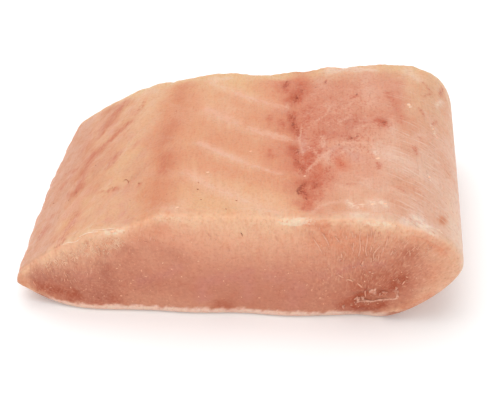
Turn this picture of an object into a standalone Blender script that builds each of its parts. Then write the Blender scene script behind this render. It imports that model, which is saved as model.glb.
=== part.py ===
"""A portion of raw snook fillet: one solid block of skinless fish, cut straight across at both ends.

Units are metres, with +Z up. X runs across the fish, from the thin belly edge to the thick back edge. Y runs
along the fish, from the cut face at the front to the one behind it. The origin is the middle of the
footprint, on the board that the fillet rests on.

Every section across the fish is an outline of four runs: the blunt belly tip, the top, the round nose of
the back, and the underside. The sections are computed from the sizes below, joined into a skin, and closed
by the two cut faces.
"""

import bmesh
import bpy
import numpy as np

MM = 0.001

# Driving dimensions
WIDTH = 130 * MM  # belly edge to back edge at the front cut
LENGTH = 84 * MM  # front cut to rear cut
THICKNESS = 37 * MM  # the main muscle's height above the board at the front cut
FLAKE = 19 * MM  # spacing of the sheets of gristle between the flakes, one to a vertebra

# Plan
BELLY_SHARE = 0.497  # share of the width on the belly side of the section's own zero
BELLY_TAPER = 5 * MM  # how far the belly edge draws in towards the rear
BELLY_TAPER_POWER = 2.2
BACK_FLARE = 4.6 * MM  # how far the back edge spreads towards the rear
BACK_FLARE_POWER = 0.85
REAR_BELLY_CORNER = 6 * MM
REAR_BACK_CORNER = 8 * MM
FRONT_BACK_CORNER = 3 * MM
TIP_SETBACK = 3.5 * MM  # the front cut curves back at the belly tip
TIP_SETBACK_RUN = 26 * MM
TIP_SETBACK_POWER = 1.5

# Heights at the front cut and at the rear cut
TOP_REAR_BELLY_SIDE = 32.2 * MM
TOP_REAR_BACK_SIDE = 37 * MM
TOP_REAR_SPAN = (-10 * MM, 52 * MM)  # at the rear cut the top changes height between these two places
TIP_HEIGHT = 7.6 * MM  # where the blunt belly tip stands out furthest
TIP_ABOVE = 3.4 * MM  # how far the tip's rounding reaches up from there
TIP_BELOW = 1.2 * MM  # and down, to a sharper lower corner
TIP_ROUND = 2.2 * MM
NOSE_HEIGHT = 20 * MM  # widest point of the back's round nose

# Curves of the section
FLANK_RUN_FRONT = 45 * MM  # length of the slope from the belly tip to the top
FLANK_RUN_REAR = 48 * MM
FLANK_POWER = 1.75
NOSE_RUN_FRONT = 33 * MM
NOSE_RUN_REAR = 11 * MM
NOSE_POWER_TOP = 2.15
NOSE_RUN_UNDER = 22 * MM
NOSE_POWER_UNDER = 1.43
TIP_UNDER_RUN = 21 * MM  # how far in from the belly tip the underside meets the board
TIP_UNDER_POWER = 2.5

# Cut faces and their rims
CUT_LEAN = 1.5 * MM  # the top of the front cut stands back from its foot
CUT_BULGE = 0.9 * MM  # soft flesh swells out between rim and foot
FOOT_SETBACK = 1.2 * MM  # the foot of the front cut draws back under the tear
FOOT_SETBACK_X = 38 * MM
FOOT_SETBACK_HALF = 7 * MM
FOOT_SETBACK_TOP = 8 * MM
CUT_WAVE = 0.5 * MM
CUT_WAVE_SIZE = 30 * MM
TOP_RIM_SOFT = 2.4 * MM  # rounding of the top rim in the middle
TOP_RIM_CRISP = 1.2 * MM  # rounding of the top rim on the belly flap and over the back
SOFT_RIM_X = -4 * MM
SOFT_RIM_HALF = 24 * MM
FOOT_RIM_ROUND = 1.4 * MM
RIM_SHARE = 0.35  # a rim takes at most this share of the flesh above or below the belly tip's height
LIP_HEIGHT = 0.5 * MM  # the knife leaves a low lip behind the front rim
LIP_PLACE = 2.4 * MM
LIP_HALF = 1.44 * MM

# Relief of the top
BELLY_FURROW_X = -30.5 * MM  # groove between the belly flap and the main muscle, at the front cut
BELLY_FURROW_DRIFT = 7 * MM
BELLY_FURROW_HALF = 7.5 * MM
BELLY_FURROW_FRONT = 3.2 * MM
BELLY_FURROW_REAR = 1.1 * MM
BELLY_FURROW_POWER = 0.6
SEAM_X = 18 * MM  # the seam along the middle of the side, where the pin bones were
SEAM_BOW = 1.8 * MM
SEAM_HALF = 3 * MM
SEAM_DEPTH = 0.6 * MM
SEAM_FADE = 0.1  # the seam's dip fades out over this share of the length at the front cut
SEAM_STEP = 1.2 * MM  # the back muscle stands above the seam at the rear
SEAM_STEP_RUN = 9 * MM
FLAKE_SLOPE = 0.7  # each sheet of gristle runs back from the seam by this much for each unit sideways
FLAP_SLOPE = 2.2  # and forward again by this much across the belly flap
FLAKE_GROOVE_HALF = 1.3 * MM
FLAKE_GROOVE_DEPTH = 0.25 * MM
FLAKE_SWELL = 0.2 * MM
FIRST_FLAKE_Y = -43.5 * MM  # where the foremost sheet meets the seam
UNEVEN_HEIGHT = 0.25 * MM
UNEVEN_SIZE = 22 * MM
UNEVEN_SEED = 7
WAVES = 7  # unevenness is the sum of this many waves
WAVE_LENGTHS = (0.7, 1.6)  # of the given size
WAVE_SHARE = 0.25  # what each wave adds

# Tear low on the front cut, near the back's nose
TEAR_X = 40 * MM
TEAR_Z = 9.6 * MM
TEAR_HALF_WIDTH = 8.5 * MM
TEAR_HALF_HEIGHT = 4 * MM
TEAR_DEPTH = 1.4 * MM
TEAR_TILT = 0.16  # the tear rises towards the nose
TEAR_SLOPE = (0.25, 1.1)  # shares of the half sizes where the tear's floor ends and where its rim lies

# Relief of the underside
UNDER_GROOVE_DEPTH = 0.4 * MM
UNDER_GROOVE_HALF = 2 * MM
UNDER_GROOVE_FROM = 0.3  # a groove starts where its bump has risen to this
UNDER_MARGIN = 8 * MM
UNDER_REACH = 0.36  # the grooves end at this share of the width from the middle

# Numbers of faces
ACROSS = 48  # along the top, and along the underside
AROUND_END = 12  # round the belly tip, and round the nose
ALONG = 34  # from cut to cut
DENSE = 400  # points of the exact outline that each run is read from
RIM_DENSITY = 0.7  # 0 spaces the sections evenly, 1 draws them towards the cuts
TIP_SHARE = 1.1 * MM  # the tip's run reaches this far in from the belly edge
NOSE_SHARE = 5.5 * MM  # the nose's run reaches this far in from the back edge

FLESH_COLOUR = (0.80, 0.47, 0.29, 1.0)
FLESH_ROUGHNESS = 0.42
FLESH_SCATTER = 0.35


def mix(first, last, share):
    """The value a share of the way from first to last."""
    return first + (last - first) * share


def ease(low, high, value):
    """0 up to low, 1 from high on, and smooth between."""
    share = np.clip((value - low) / (high - low), 0, 1)
    return share * share * (3 - 2 * share)


def bump(value, centre, half_width):
    """1 at the centre, falling off smoothly on both sides."""
    return np.exp(-(((value - centre) / half_width) ** 2))


def corner_inset(distance, radius):
    """How far a rounded corner stands in from its edge, at this distance from the corner's end."""
    inside = np.clip(1 - distance / radius, 0, 1)
    return radius * (1 - np.sqrt(1 - inside * inside))


def superellipse(share, power):
    """1 at share 0 and 0 at share 1, with a vertical end."""
    return (1 - np.clip(share, 0, 1) ** power) ** (1 / power)


def uneven(x, y, size, seed):
    """Smooth unevenness between about -1 and 1: a few waves in random directions."""
    waves = np.random.default_rng(seed)
    total = 0
    for _ in range(WAVES):
        angle, phase = waves.uniform(0, 2 * np.pi, 2)
        length = size * waves.uniform(*WAVE_LENGTHS)
        across = x * np.cos(angle) + y * np.sin(angle)
        total = total + np.sin(2 * np.pi * across / length + phase)
    return WAVE_SHARE * total


def belly_edge(along):
    """X of the belly edge. along is 0 at the front cut and 1 at the rear cut."""
    behind = (1 - along) * LENGTH
    edge = -WIDTH * BELLY_SHARE + BELLY_TAPER * along**BELLY_TAPER_POWER
    return edge + corner_inset(behind, REAR_BELLY_CORNER)


def back_edge(along):
    """X of the back edge."""
    ahead, behind = along * LENGTH, (1 - along) * LENGTH
    edge = WIDTH * (1 - BELLY_SHARE) + BACK_FLARE * along**BACK_FLARE_POWER
    return edge - corner_inset(behind, REAR_BACK_CORNER) - corner_inset(ahead, FRONT_BACK_CORNER)


def seam_x(along):
    """X of the middle seam, which bows towards the belly half-way along."""
    return SEAM_X + SEAM_BOW * np.cos(2 * np.pi * along)


def furrow_x(along):
    """X of the groove between the belly flap and the main muscle."""
    return BELLY_FURROW_X + BELLY_FURROW_DRIFT * along


def flake_phase(x, along):
    """Counts the sheets of gristle from front to rear: a whole number lies on a sheet. They run back on both
    sides of the seam, and forward again across the belly flap, as a W on its side."""
    y = (along - 0.5) * LENGTH
    over_flap = np.maximum(furrow_x(along) - x, 0)
    sideways = np.abs(x - seam_x(along)) - over_flap
    return (y - FIRST_FLAKE_Y - FLAKE_SLOPE * sideways + FLAP_SLOPE * over_flap) / FLAKE


def near_sheet(x, along, half_width):
    """1 on a sheet of gristle and 0 more than about half_width from it."""
    phase = flake_phase(x, along)
    return bump((phase - np.round(phase)) * FLAKE, 0, half_width)


def rim_drop(along, radius):
    """How far the rounded rims of both cuts take the surface down."""
    return corner_inset(along * LENGTH, radius) + corner_inset((1 - along) * LENGTH, radius)


def top_relief(x, along):
    """What the furrow, the seam and the flakes add to the top's height."""
    furrow = mix(BELLY_FURROW_FRONT, BELLY_FURROW_REAR, along**BELLY_FURROW_POWER)
    seam = seam_x(along)
    height = -furrow * bump(x, furrow_x(along), BELLY_FURROW_HALF)
    height = height - SEAM_DEPTH * bump(x, seam, SEAM_HALF) * ease(0, SEAM_FADE, along)
    height = height + SEAM_STEP * along * ease(seam, seam + SEAM_STEP_RUN, x)
    height = height + FLAKE_SWELL * np.cos(2 * np.pi * (flake_phase(x, along) - 0.5))
    height = height - FLAKE_GROOVE_DEPTH * near_sheet(x, along, FLAKE_GROOVE_HALF)
    height = height + UNEVEN_HEIGHT * uneven(x, along * LENGTH, UNEVEN_SIZE, UNEVEN_SEED)
    return height + LIP_HEIGHT * bump(along * LENGTH, LIP_PLACE, LIP_HALF)


def top_height(x, along):
    """Z of the upper surface."""
    tip, nose = belly_edge(along), back_edge(along)
    rear = mix(TOP_REAR_BELLY_SIDE, TOP_REAR_BACK_SIDE - SEAM_STEP, ease(*TOP_REAR_SPAN, x))
    crown = mix(THICKNESS, rear, along) + top_relief(x, along)
    run = mix(FLANK_RUN_FRONT, FLANK_RUN_REAR, along)
    rise = 1 - (1 - np.clip((x - tip) / run, 0, 1)) ** FLANK_POWER
    flank = mix(TIP_HEIGHT + TIP_ABOVE, crown, rise)
    thin = RIM_SHARE * (flank - TIP_HEIGHT)
    rim = mix(TOP_RIM_CRISP, TOP_RIM_SOFT, bump(x, SOFT_RIM_X, SOFT_RIM_HALF))
    flank = flank - np.minimum(rim_drop(along, rim), thin)
    over_tip = superellipse(1 - (x - tip) / TIP_ROUND, 2)
    at_tip = mix(TIP_HEIGHT, flank, over_tip)
    nose_run = mix(NOSE_RUN_FRONT, NOSE_RUN_REAR, along)
    over_nose = superellipse(1 - (nose - x) / nose_run, NOSE_POWER_TOP)
    return mix(NOSE_HEIGHT, at_tip, over_nose)


def under_relief(x, along):
    """Grooves in the underside, over the same sheets of gristle and along the seam. The rest lies flat."""
    y = (along - 0.5) * LENGTH
    sheet = near_sheet(x, along, UNDER_GROOVE_HALF)
    seam = bump(x, seam_x(along), UNDER_GROOVE_HALF)
    groove = ease(UNDER_GROOVE_FROM, 1, np.maximum(sheet, seam))
    inside = ease(0, UNDER_MARGIN, LENGTH / 2 - np.abs(y))
    inside = inside * ease(0, UNDER_MARGIN, WIDTH * UNDER_REACH - np.abs(x))
    return UNDER_GROOVE_DEPTH * groove * inside


def under_height(x, along):
    """Z of the underside."""
    tip, nose = belly_edge(along), back_edge(along)
    lift = np.clip(1 - (x - tip) / TIP_UNDER_RUN, 0, 1) ** TIP_UNDER_POWER
    under = (TIP_HEIGHT - TIP_BELOW) * lift + under_relief(x, along)
    thin = RIM_SHARE * (TIP_HEIGHT - under)
    under = under + np.clip(rim_drop(along, FOOT_RIM_ROUND), 0, thin)
    over_tip = superellipse(1 - (x - tip) / TIP_ROUND, 2)
    at_tip = mix(TIP_HEIGHT, under, over_tip)
    over_nose = superellipse(1 - (nose - x) / NOSE_RUN_UNDER, NOSE_POWER_UNDER)
    return mix(NOSE_HEIGHT, at_tip, over_nose)


def tear(x, z):
    """1 in the middle of the tear and 0 outside it."""
    level = z - TEAR_Z - TEAR_TILT * (x - TEAR_X)
    reach = np.hypot((x - TEAR_X) / TEAR_HALF_WIDTH, level / TEAR_HALF_HEIGHT)
    return 1 - ease(*TEAR_SLOPE, reach)


def cut_y(x, z, rear):
    """Y of a cut face: the front one, or the rear one where rear is 1."""
    level = np.clip(z / THICKNESS, 0, 1)
    swell = CUT_BULGE * 4 * level * (1 - level)
    wave = CUT_WAVE * uneven(x, z, CUT_WAVE_SIZE, UNEVEN_SEED + 1 + rear)
    if rear:
        return LENGTH / 2 + swell + wave
    tip_x = -WIDTH * BELLY_SHARE
    setback = TIP_SETBACK * (1 - ease(tip_x, tip_x + TIP_SETBACK_RUN, x)) ** TIP_SETBACK_POWER
    foot = FOOT_SETBACK * bump(x, FOOT_SETBACK_X, FOOT_SETBACK_HALF) * (1 - ease(0, FOOT_SETBACK_TOP, z))
    return -LENGTH / 2 - swell + CUT_LEAN * level + wave + setback + foot + TEAR_DEPTH * tear(x, z)


def evenly(points, count):
    """count + 1 points, evenly spaced along a line of many points."""
    steps = np.hypot(*np.diff(points, axis=0).T)
    run = np.concatenate([[0], np.cumsum(steps)])
    wanted = np.linspace(0, run[-1], count + 1)
    return np.stack([np.interp(wanted, run, points[:, i]) for i in range(2)], 1)


def section(along):
    """The four runs of the outline at a section, as (x, z): belly tip upwards, top towards the back, nose
    downwards and underside towards the belly."""
    tip, nose = belly_edge(along), back_edge(along)
    x = tip + (nose - tip) * (1 - np.cos(np.linspace(0, np.pi, DENSE))) / 2
    top = np.stack([x, top_height(x, along)], 1)
    under = np.stack([x, under_height(x, along)], 1)
    in_tip, in_nose = x < tip + TIP_SHARE, x > nose - NOSE_SHARE
    middle = ~in_tip & ~in_nose
    tip_run = np.concatenate([under[in_tip][::-1], top[in_tip][1:]])
    nose_run = np.concatenate([top[in_nose], under[in_nose][::-1][1:]])
    top_run = np.concatenate([tip_run[-1:], top[middle], nose_run[:1]])
    under_run = np.concatenate([nose_run[-1:], under[middle][::-1], tip_run[:1]])
    return (
        evenly(tip_run, AROUND_END),
        evenly(top_run, ACROSS),
        evenly(nose_run, AROUND_END),
        evenly(under_run, ACROSS),
    )


def stations():
    """Where the sections lie, from 0 at the front cut to 1 at the rear cut, closer together near both."""
    even = np.linspace(0, 1, ALONG + 1)
    drawn = (1 - np.cos(np.pi * even)) / 2
    return mix(even, drawn, RIM_DENSITY)


def ring_points(along):
    """The points round one section, in space."""
    flat = np.concatenate([run[:-1] for run in section(along)])
    x, z = flat.T
    y = mix(cut_y(x, z, 0), cut_y(x, z, 1), along)
    return np.stack([x, y, z], 1)


def cut_points(along):
    """The points inside a cut face, (ACROSS - 1) by (AROUND_END - 1), filled in between its four edges."""
    tip, top, nose, under = section(along)
    nose, under = nose[::-1], under[::-1]
    across = np.linspace(0, 1, ACROSS + 1)[:, None, None]
    up = np.linspace(0, 1, AROUND_END + 1)[None, :, None]
    faces = mix(under[:, None], top[:, None], up) + mix(tip[None], nose[None], across)
    corners = mix(mix(under[0], under[-1], across), mix(top[0], top[-1], across), up)
    x, z = np.moveaxis((faces - corners)[1:-1, 1:-1], 2, 0)
    return np.stack([x, cut_y(x, z, round(along)), z], 2)


def add_cut_face(bm, ring, along):
    """Closes one end with a grid of faces between the vertices of its ring."""
    inner = cut_points(along)
    grid = [[None] * (AROUND_END + 1) for _ in range(ACROSS + 1)]
    for i in range(ACROSS + 1):
        grid[i][AROUND_END] = ring[AROUND_END + i]
        grid[i][0] = ring[(2 * AROUND_END + 2 * ACROSS - i) % len(ring)]
    for j in range(AROUND_END + 1):
        grid[0][j] = ring[j]
        grid[ACROSS][j] = ring[2 * AROUND_END + ACROSS - j]
    for i in range(1, ACROSS):
        for j in range(1, AROUND_END):
            grid[i][j] = bm.verts.new(inner[i - 1, j - 1])
    for i in range(ACROSS):
        for j in range(AROUND_END):
            bm.faces.new([grid[i][j], grid[i + 1][j], grid[i + 1][j + 1], grid[i][j + 1]])


def fillet_mesh():
    """The whole fillet as one closed mesh."""
    bm = bmesh.new()
    rings = [[bm.verts.new(point) for point in ring_points(along)] for along in stations()]
    for ring, following in zip(rings, rings[1:]):
        for i in range(len(ring)):
            bm.faces.new([ring[i - 1], ring[i], following[i], following[i - 1]])
    add_cut_face(bm, rings[0], 0)
    add_cut_face(bm, rings[-1], 1)
    bmesh.ops.recalc_face_normals(bm, faces=bm.faces)
    mesh = bpy.data.meshes.new("fillet")
    bm.to_mesh(mesh)
    bm.free()
    return mesh


def centre_footprint(mesh):
    """Moves the mesh so that the middle of its footprint is the origin."""
    places = np.array([vertex.co for vertex in mesh.vertices])
    middle = (places.min(0) + places.max(0)) / 2
    for vertex in mesh.vertices:
        vertex.co.x -= middle[0]
        vertex.co.y -= middle[1]


def flesh_material():
    material = bpy.data.materials.new("flesh")
    material.use_nodes = True
    shader = material.node_tree.nodes["Principled BSDF"]
    shader.inputs["Base Color"].default_value = FLESH_COLOUR
    shader.inputs["Roughness"].default_value = FLESH_ROUGHNESS
    shader.inputs["Subsurface Weight"].default_value = FLESH_SCATTER
    return material


def main():
    for old in list(bpy.data.objects):
        bpy.data.objects.remove(old)
    mesh = fillet_mesh()
    centre_footprint(mesh)
    mesh.materials.append(flesh_material())
    mesh.shade_smooth()
    fillet = bpy.data.objects.new("fillet", mesh)
    bpy.context.scene.collection.objects.link(fillet)


main()
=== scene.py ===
"""The looks of a portion of raw snook fillet.

The solid's own sections are drawn again with a finer skin, in millimetres, and the skin is painted by
functions of where a point lies: over the belly flap, along the middle seam, on a sheet of gristle, or on a
cut face. Nodes add the detail that is finer than the skin. Threads, shreds and specks are small meshes on it.
"""

from types import SimpleNamespace

import bpy
import numpy as np
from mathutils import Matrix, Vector


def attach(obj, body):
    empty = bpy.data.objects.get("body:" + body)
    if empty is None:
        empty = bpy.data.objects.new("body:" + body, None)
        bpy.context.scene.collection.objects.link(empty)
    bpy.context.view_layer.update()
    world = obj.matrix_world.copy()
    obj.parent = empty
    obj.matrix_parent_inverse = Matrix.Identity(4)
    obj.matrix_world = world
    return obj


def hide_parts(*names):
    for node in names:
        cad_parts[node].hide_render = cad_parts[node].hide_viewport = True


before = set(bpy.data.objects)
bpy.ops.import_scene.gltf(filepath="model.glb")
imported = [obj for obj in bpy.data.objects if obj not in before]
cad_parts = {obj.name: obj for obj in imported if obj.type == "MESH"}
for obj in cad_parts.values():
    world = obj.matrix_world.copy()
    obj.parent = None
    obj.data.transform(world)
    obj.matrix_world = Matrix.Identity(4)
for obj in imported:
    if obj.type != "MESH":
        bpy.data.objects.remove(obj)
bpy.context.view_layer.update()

METRES = 0.001

# Sizes of the solid, in millimetres
WIDTH = 130
LENGTH = 84
THICKNESS = 37
FLAKE = 19

BELLY_SHARE = 0.497
BELLY_TAPER = 5
BELLY_TAPER_POWER = 2.2
BACK_FLARE = 4.6
BACK_FLARE_POWER = 0.85
REAR_BELLY_CORNER = 6
REAR_BACK_CORNER = 8
FRONT_BACK_CORNER = 3
TIP_SETBACK = 3.5
TIP_SETBACK_RUN = 26
TIP_SETBACK_POWER = 1.5

TOP_REAR_BELLY_SIDE = 32.2
TOP_REAR_BACK_SIDE = 37
TOP_REAR_SPAN = (-10, 52)
TIP_HEIGHT = 7.6
TIP_ABOVE = 3.4
TIP_BELOW = 1.2
TIP_ROUND = 2.2
NOSE_HEIGHT = 20

FLANK_RUN_FRONT = 45
FLANK_RUN_REAR = 48
FLANK_POWER = 1.75
NOSE_RUN_FRONT = 33
NOSE_RUN_REAR = 11
NOSE_POWER_TOP = 2.15
NOSE_RUN_UNDER = 22
NOSE_POWER_UNDER = 1.43
TIP_UNDER_RUN = 21
TIP_UNDER_POWER = 2.5

CUT_LEAN = 1.5
CUT_BULGE = 0.9
FOOT_SETBACK = 1.2
FOOT_SETBACK_X = 38
FOOT_SETBACK_HALF = 7
FOOT_SETBACK_TOP = 8
CUT_WAVE = 0.5
CUT_WAVE_SIZE = 30
TOP_RIM_SOFT = 2.4
TOP_RIM_CRISP = 1.2
SOFT_RIM_X = -4
SOFT_RIM_HALF = 24
FOOT_RIM_ROUND = 1.4
RIM_SHARE = 0.35
LIP_HEIGHT = 0.5
LIP_PLACE = 2.4
LIP_HALF = 1.44

BELLY_FURROW_X = -30.5
BELLY_FURROW_DRIFT = 7
BELLY_FURROW_HALF = 7.5
BELLY_FURROW_FRONT = 3.2
BELLY_FURROW_REAR = 1.1
BELLY_FURROW_POWER = 0.6
SEAM_X = 18
SEAM_BOW = 1.8
SEAM_HALF = 3
SEAM_DEPTH = 0.6
SEAM_FADE = 0.1
SEAM_STEP = 1.2
SEAM_STEP_RUN = 9
FLAKE_SLOPE = 0.7
FLAP_SLOPE = 2.2
FLAKE_GROOVE_HALF = 1.3
FLAKE_GROOVE_DEPTH = 0.25
FLAKE_SWELL = 0.2
FIRST_FLAKE_Y = -43.5
UNEVEN_HEIGHT = 0.25
UNEVEN_SIZE = 22
UNEVEN_SEED = 7
WAVES = 7
WAVE_LENGTHS = (0.7, 1.6)
WAVE_SHARE = 0.25

TEAR_X = 40
TEAR_Z = 9.6
TEAR_HALF_WIDTH = 8.5
TEAR_HALF_HEIGHT = 4
TEAR_DEPTH = 1.4
TEAR_TILT = 0.16
TEAR_SLOPE = (0.25, 1.1)

UNDER_GROOVE_DEPTH = 0.4
UNDER_GROOVE_HALF = 2
UNDER_GROOVE_FROM = 0.3
UNDER_MARGIN = 8
UNDER_REACH = 0.36

# Above this height a cut's outline counts as its upper one
UPPER_RIM_Z = 4

# Faces of the fine skin
ACROSS = 290
AROUND_END = 40
ALONG = 108
DENSE = 1600
RIM_DENSITY = 0.7
TIP_SHARE = 1.1
NOSE_SHARE = 5.5

# The share of its own colour that a surface gives back in this light, and what gloss adds
TOP_LIGHT = 1.11
# Fine red marks take some green and blue from the top, which its own colour makes up for
TOP_TINT = np.array([1, 0.955, 0.93])
TOP_GLOSS = 0.03
CUT_LIGHT = 0.9
CUT_GLOSS = 0.015
STEEP_LIGHT = 0.95
UNDER_LIGHT = 1.15
BELLY_GLOSS = 0.055
# The darkest and the lightest that a surface's own colour may be, in linear light
OWN_RANGE = (0.005, 0.98)
# How strongly the coarsest patches of a cloud count: each finer layer counts half as much as the one before
CLOUD_SHARE = 1.1
# Numbers of the Mix node's sockets for two colours: the factor, the colours and the result
MIX_INPUTS = (0, 6, 7)
MIX_OUTPUT = 2

# The floor's half size in millimetres, and how much it glows, so that its shadow stays faint
FLOOR_HALF = 2000
FLOOR_GLOW = 0.12
# How bright the even surround is
SURROUND = 0.7
# The lamp and the camera, in the row frame, in metres, watts and degrees
LAMP_PLACE = (-0.15, 0.1, 0.9)
LAMP_AIM = (0, 0, 0.02)
LAMP_SIZE = 0.9
LAMP_WATTS = 5.2
CAMERA_AIM = (0.00068, -0.00733, 0.016)
CAMERA_AZIMUTH = 2.776
CAMERA_ELEVATION = 38.868
CAMERA_DISTANCE = 0.3256
# Focal length and sensor, in millimetres
CAMERA_LENS = 74.68
SENSOR_WIDTH = 36

# Angle of the muscle's fibres on the top, in degrees from +Y towards +X
FIBRE_LEAN = -6
# Where the fibres of the front cut would meet, and how far from there they are counted
FAN_X = 37
FAN_Z = 4
FAN_REACH = 24
# Left of there they are upright, and lean over the belly flap by this share of their height above this Z
FLAP_LEAN = 0.12
FLAP_LEAN_Z = 18
# How far the flap's streaks, the sheets, the net beside the seam and the flank's lines are turned, in radians
STREAK_TURN = 0.38
SHEET_TURN = 0.6
NET_TURN = -0.75
FLANK_TURN = 0.4

# Colours of the flesh as the eye sees them, in sRGB from 0 to 255
DOME_REAR = (235, 184, 140)
DOME_MIDDLE = (229, 161, 126)
DOME_FRONT = (236, 178, 140)
SHEET_PALE = (240, 190, 157)
SHEET_PINK = (241, 189, 165)
FLAP = (227, 167, 133)
FLAP_PALE = (235, 184, 147)
FLAP_PINK = (224, 158, 138)
FLAP_YELLOW = (232, 180, 138)
FLAP_EDGE = (219, 163, 136)
FLAP_BAND = (215, 150, 119)
FLAP_STREAK = (205, 118, 92)
FURROW = (223, 152, 118)
FURROW_DEEP = (213, 134, 104)
SEAM_HALO = (221, 143, 114)
BLOOD = (200, 104, 80)
BLOOD_DARK = (164, 74, 50)
BACK = (228, 163, 135)
BACK_DUSK = (221, 151, 124)
BACK_DUSK_DARK = (212, 136, 112)
BACK_FRONT = (234, 178, 148)
BACK_PALE = (233, 182, 156)
BACK_PEACH = (229, 174, 141)
BACK_ORANGE = (219, 148, 116)
BACK_FLUSH = (225, 138, 108)
BACK_RIM = (238, 203, 178)
# Pale membrane, with a painted sheen on it
MEMBRANE_SHEEN = (243, 210, 191)
WISP = (238, 186, 160)
VEIL = (222, 165, 147)
REAR_RIM = (236, 190, 148)
# Pale flesh along the front crest with a painted highlight, and its white edge: membrane with a painted
# highlight
CREST_HIGHLIGHT = (241, 197, 163)
CREST_WHITE_HIGHLIGHT = (254, 229, 204)
# The cut's colour high up and low down: the change from one to the other is painted shade, darker towards the
# foot
CUT_LIT_HIGH = (228, 165, 135)
CUT_LOW = (200, 132, 107)
# Pale flesh under the front crest, with a painted highlight on it
CUT_PALE_AND_HIGHLIGHT = (238, 190, 155)
CUT_PURPLE = (204, 135, 119)
CUT_BROWN = (184, 114, 92)
CUT_RUST = (184, 106, 80)
CUT_FOOT = (209, 146, 119)
CUT_RED = (170, 84, 59)
CUT_ORANGE = (221, 146, 114)
CUT_RIM = (226, 172, 141)
FOOT_PALE = (243, 209, 190)
TIP_ORANGE = (217, 155, 122)
UNDER_FLESH = (224, 166, 138)
CUT_HAIR = (238, 188, 158)
THREAD = (235, 180, 151)
THREAD_DEEP = (224, 163, 136)
CREST_THREAD = (250, 220, 198)
CREST_CURL = (244, 203, 172)
CREST_CURL_DEEP = (232, 178, 146)
TORN = (240, 192, 168)
TORN_DEEP = (208, 138, 112)
# Pale crumbs: partly bits of fat, partly painted glints of wet
CRUMB_GLINT = (240, 192, 160)
CRUMB_GLINT_DEEP = (228, 168, 138)
SPECK = (178, 104, 76)
SPECK_DEEP = (146, 82, 62)
CRACK = (140, 66, 49)

# Long marks on the top: half width, strength and points (x, y), in the sections' own frame
DOME_PALE_LINES = [
    (4.5, 0.5, (-14, 25), (-4, 16)),
    (3.4, 0.5, (-12, 36), (2, 26), (9, 19)),
    (4, 0.55, (-16, -19.5), (-8, -23), (2, -30), (8, -35)),
    (4, 0.8, (5, -37), (13, -40)),
    (2.5, 0.3, (-4, -8), (8, -16)),
    (2, 0.25, (-9, 17.5), (-2, 12)),
]
DOME_YELLOW_LINES = [
    (2.6, 0.55, (-8, 36), (2, 28)),
    (2.6, 0.35, (-6, -24), (4, -27)),
    (3.4, 0.35, (-14, 33), (-10, 22)),
    (2.2, 0.45, (-10, -34), (-2, -36.5)),
]
# The sheets of gristle between the flakes, where they show as pale lines
SHEET_LINES = [
    (1, 0.8, (-3, 28), (6.6, 21.7), (13, 18)),
    (1.5, 0.75, (-12, 17.4), (-5.8, 12.6), (-1, 9)),
    (1.2, 0.95, (2, 6.4), (6, 3.8), (10.4, 1.1), (15, -0.4)),
    (1.1, 1, (-12.5, -3), (-4.4, -8.5), (0.5, -12)),
    (0.7, 0.8, (0.5, -12), (3.4, -14.3), (9.4, -17.6), (13, -19.2)),
    (1.6, 0.6, (-15.6, -18.8), (-8.3, -25), (-1.1, -29.6)),
    (1.2, 0.5, (-1.1, -29.6), (4.2, -33.2), (12, -38.4)),
]
FURROW_LINES = [
    (5.4, 0.85, (-20.5, 35), (-22.5, 18), (-23.5, 0), (-22, -12), (-21, -40)),
    (4.6, 0.4, (-20.5, 0), (-20, -20), (-20.5, -34)),
    (3, 0.28, (-14.5, -3), (-13.5, -8)),
    (3.5, 0.25, (6, 22), (9, 14)),
    (3, 0.25, (0, 6.5), (2, 2)),
    (3, 0.28, (-30.5, 17), (-31, 8)),
]
FURROW_DEEP_LINES = [
    (2.6, 0.35, (-21.5, 34), (-22, 27)),
    (2.6, 0.7, (-22.3, 10), (-23.4, 0)),
    (2.6, 0.8, (-21.8, -8), (-20.5, -14)),
    (1.6, 0.45, (-23.5, -13), (-22, -19)),
    (4.2, 0.35, (-23, -26), (-22, -33)),
]
FLAP_PALE_LINES = [
    (4.6, 0.9, (-38, 38), (-31, 24), (-32, 12)),
    (4, 0.8, (-29, 38), (-29.5, 29)),
    (3.6, 0.55, (-41.5, -28), (-43, -38)),
    (2.4, 0.6, (-58, 31), (-50, 39)),
    (2.4, 1, (-58, 31), (-59.6, 27), (-58.4, 22)),
    (1.8, 0.6, (-62, 6), (-60.4, 9.6)),
]
FLAP_BAND_LINES = [
    (4, 0.8, (-47, 38), (-46, 24)),
    (3.6, 0.75, (-51, 14), (-50.5, 0), (-50, -14)),
    (3, 0.25, (-31.5, -10), (-31, -18)),
    (3.4, 0.55, (-45, 4), (-45.5, -14)),
    (3.4, 0.4, (-55.5, 26), (-57, 6)),
    (3, 0.4, (-57.5, 0), (-57, -10)),
]
FLAP_FINE_STREAKS = [
    (0.5, 0.9, (-46.9, 5), (-48.2, 2.5), (-49.2, 0.4)),
    (0.5, 0.8, (-42, 31.6), (-42.8, 29.2)),
    (0.45, 0.6, (-37.4, 17.5), (-39.8, 15.3), (-42.7, 10)),
    (0.5, 0.6, (-38.6, -1), (-39.5, -3.4), (-40.8, -5.5)),
    (0.45, 0.8, (-28.3, -20.6), (-29.1, -21.4)),
    (0.55, 0.9, (-48.9, -13.2), (-50.2, -13.8)),
    (0.45, 0.7, (-23, -14.6), (-24, -16.3)),
    (0.5, 0.5, (-46.5, 18.3), (-47.8, 15.7)),
]
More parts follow.
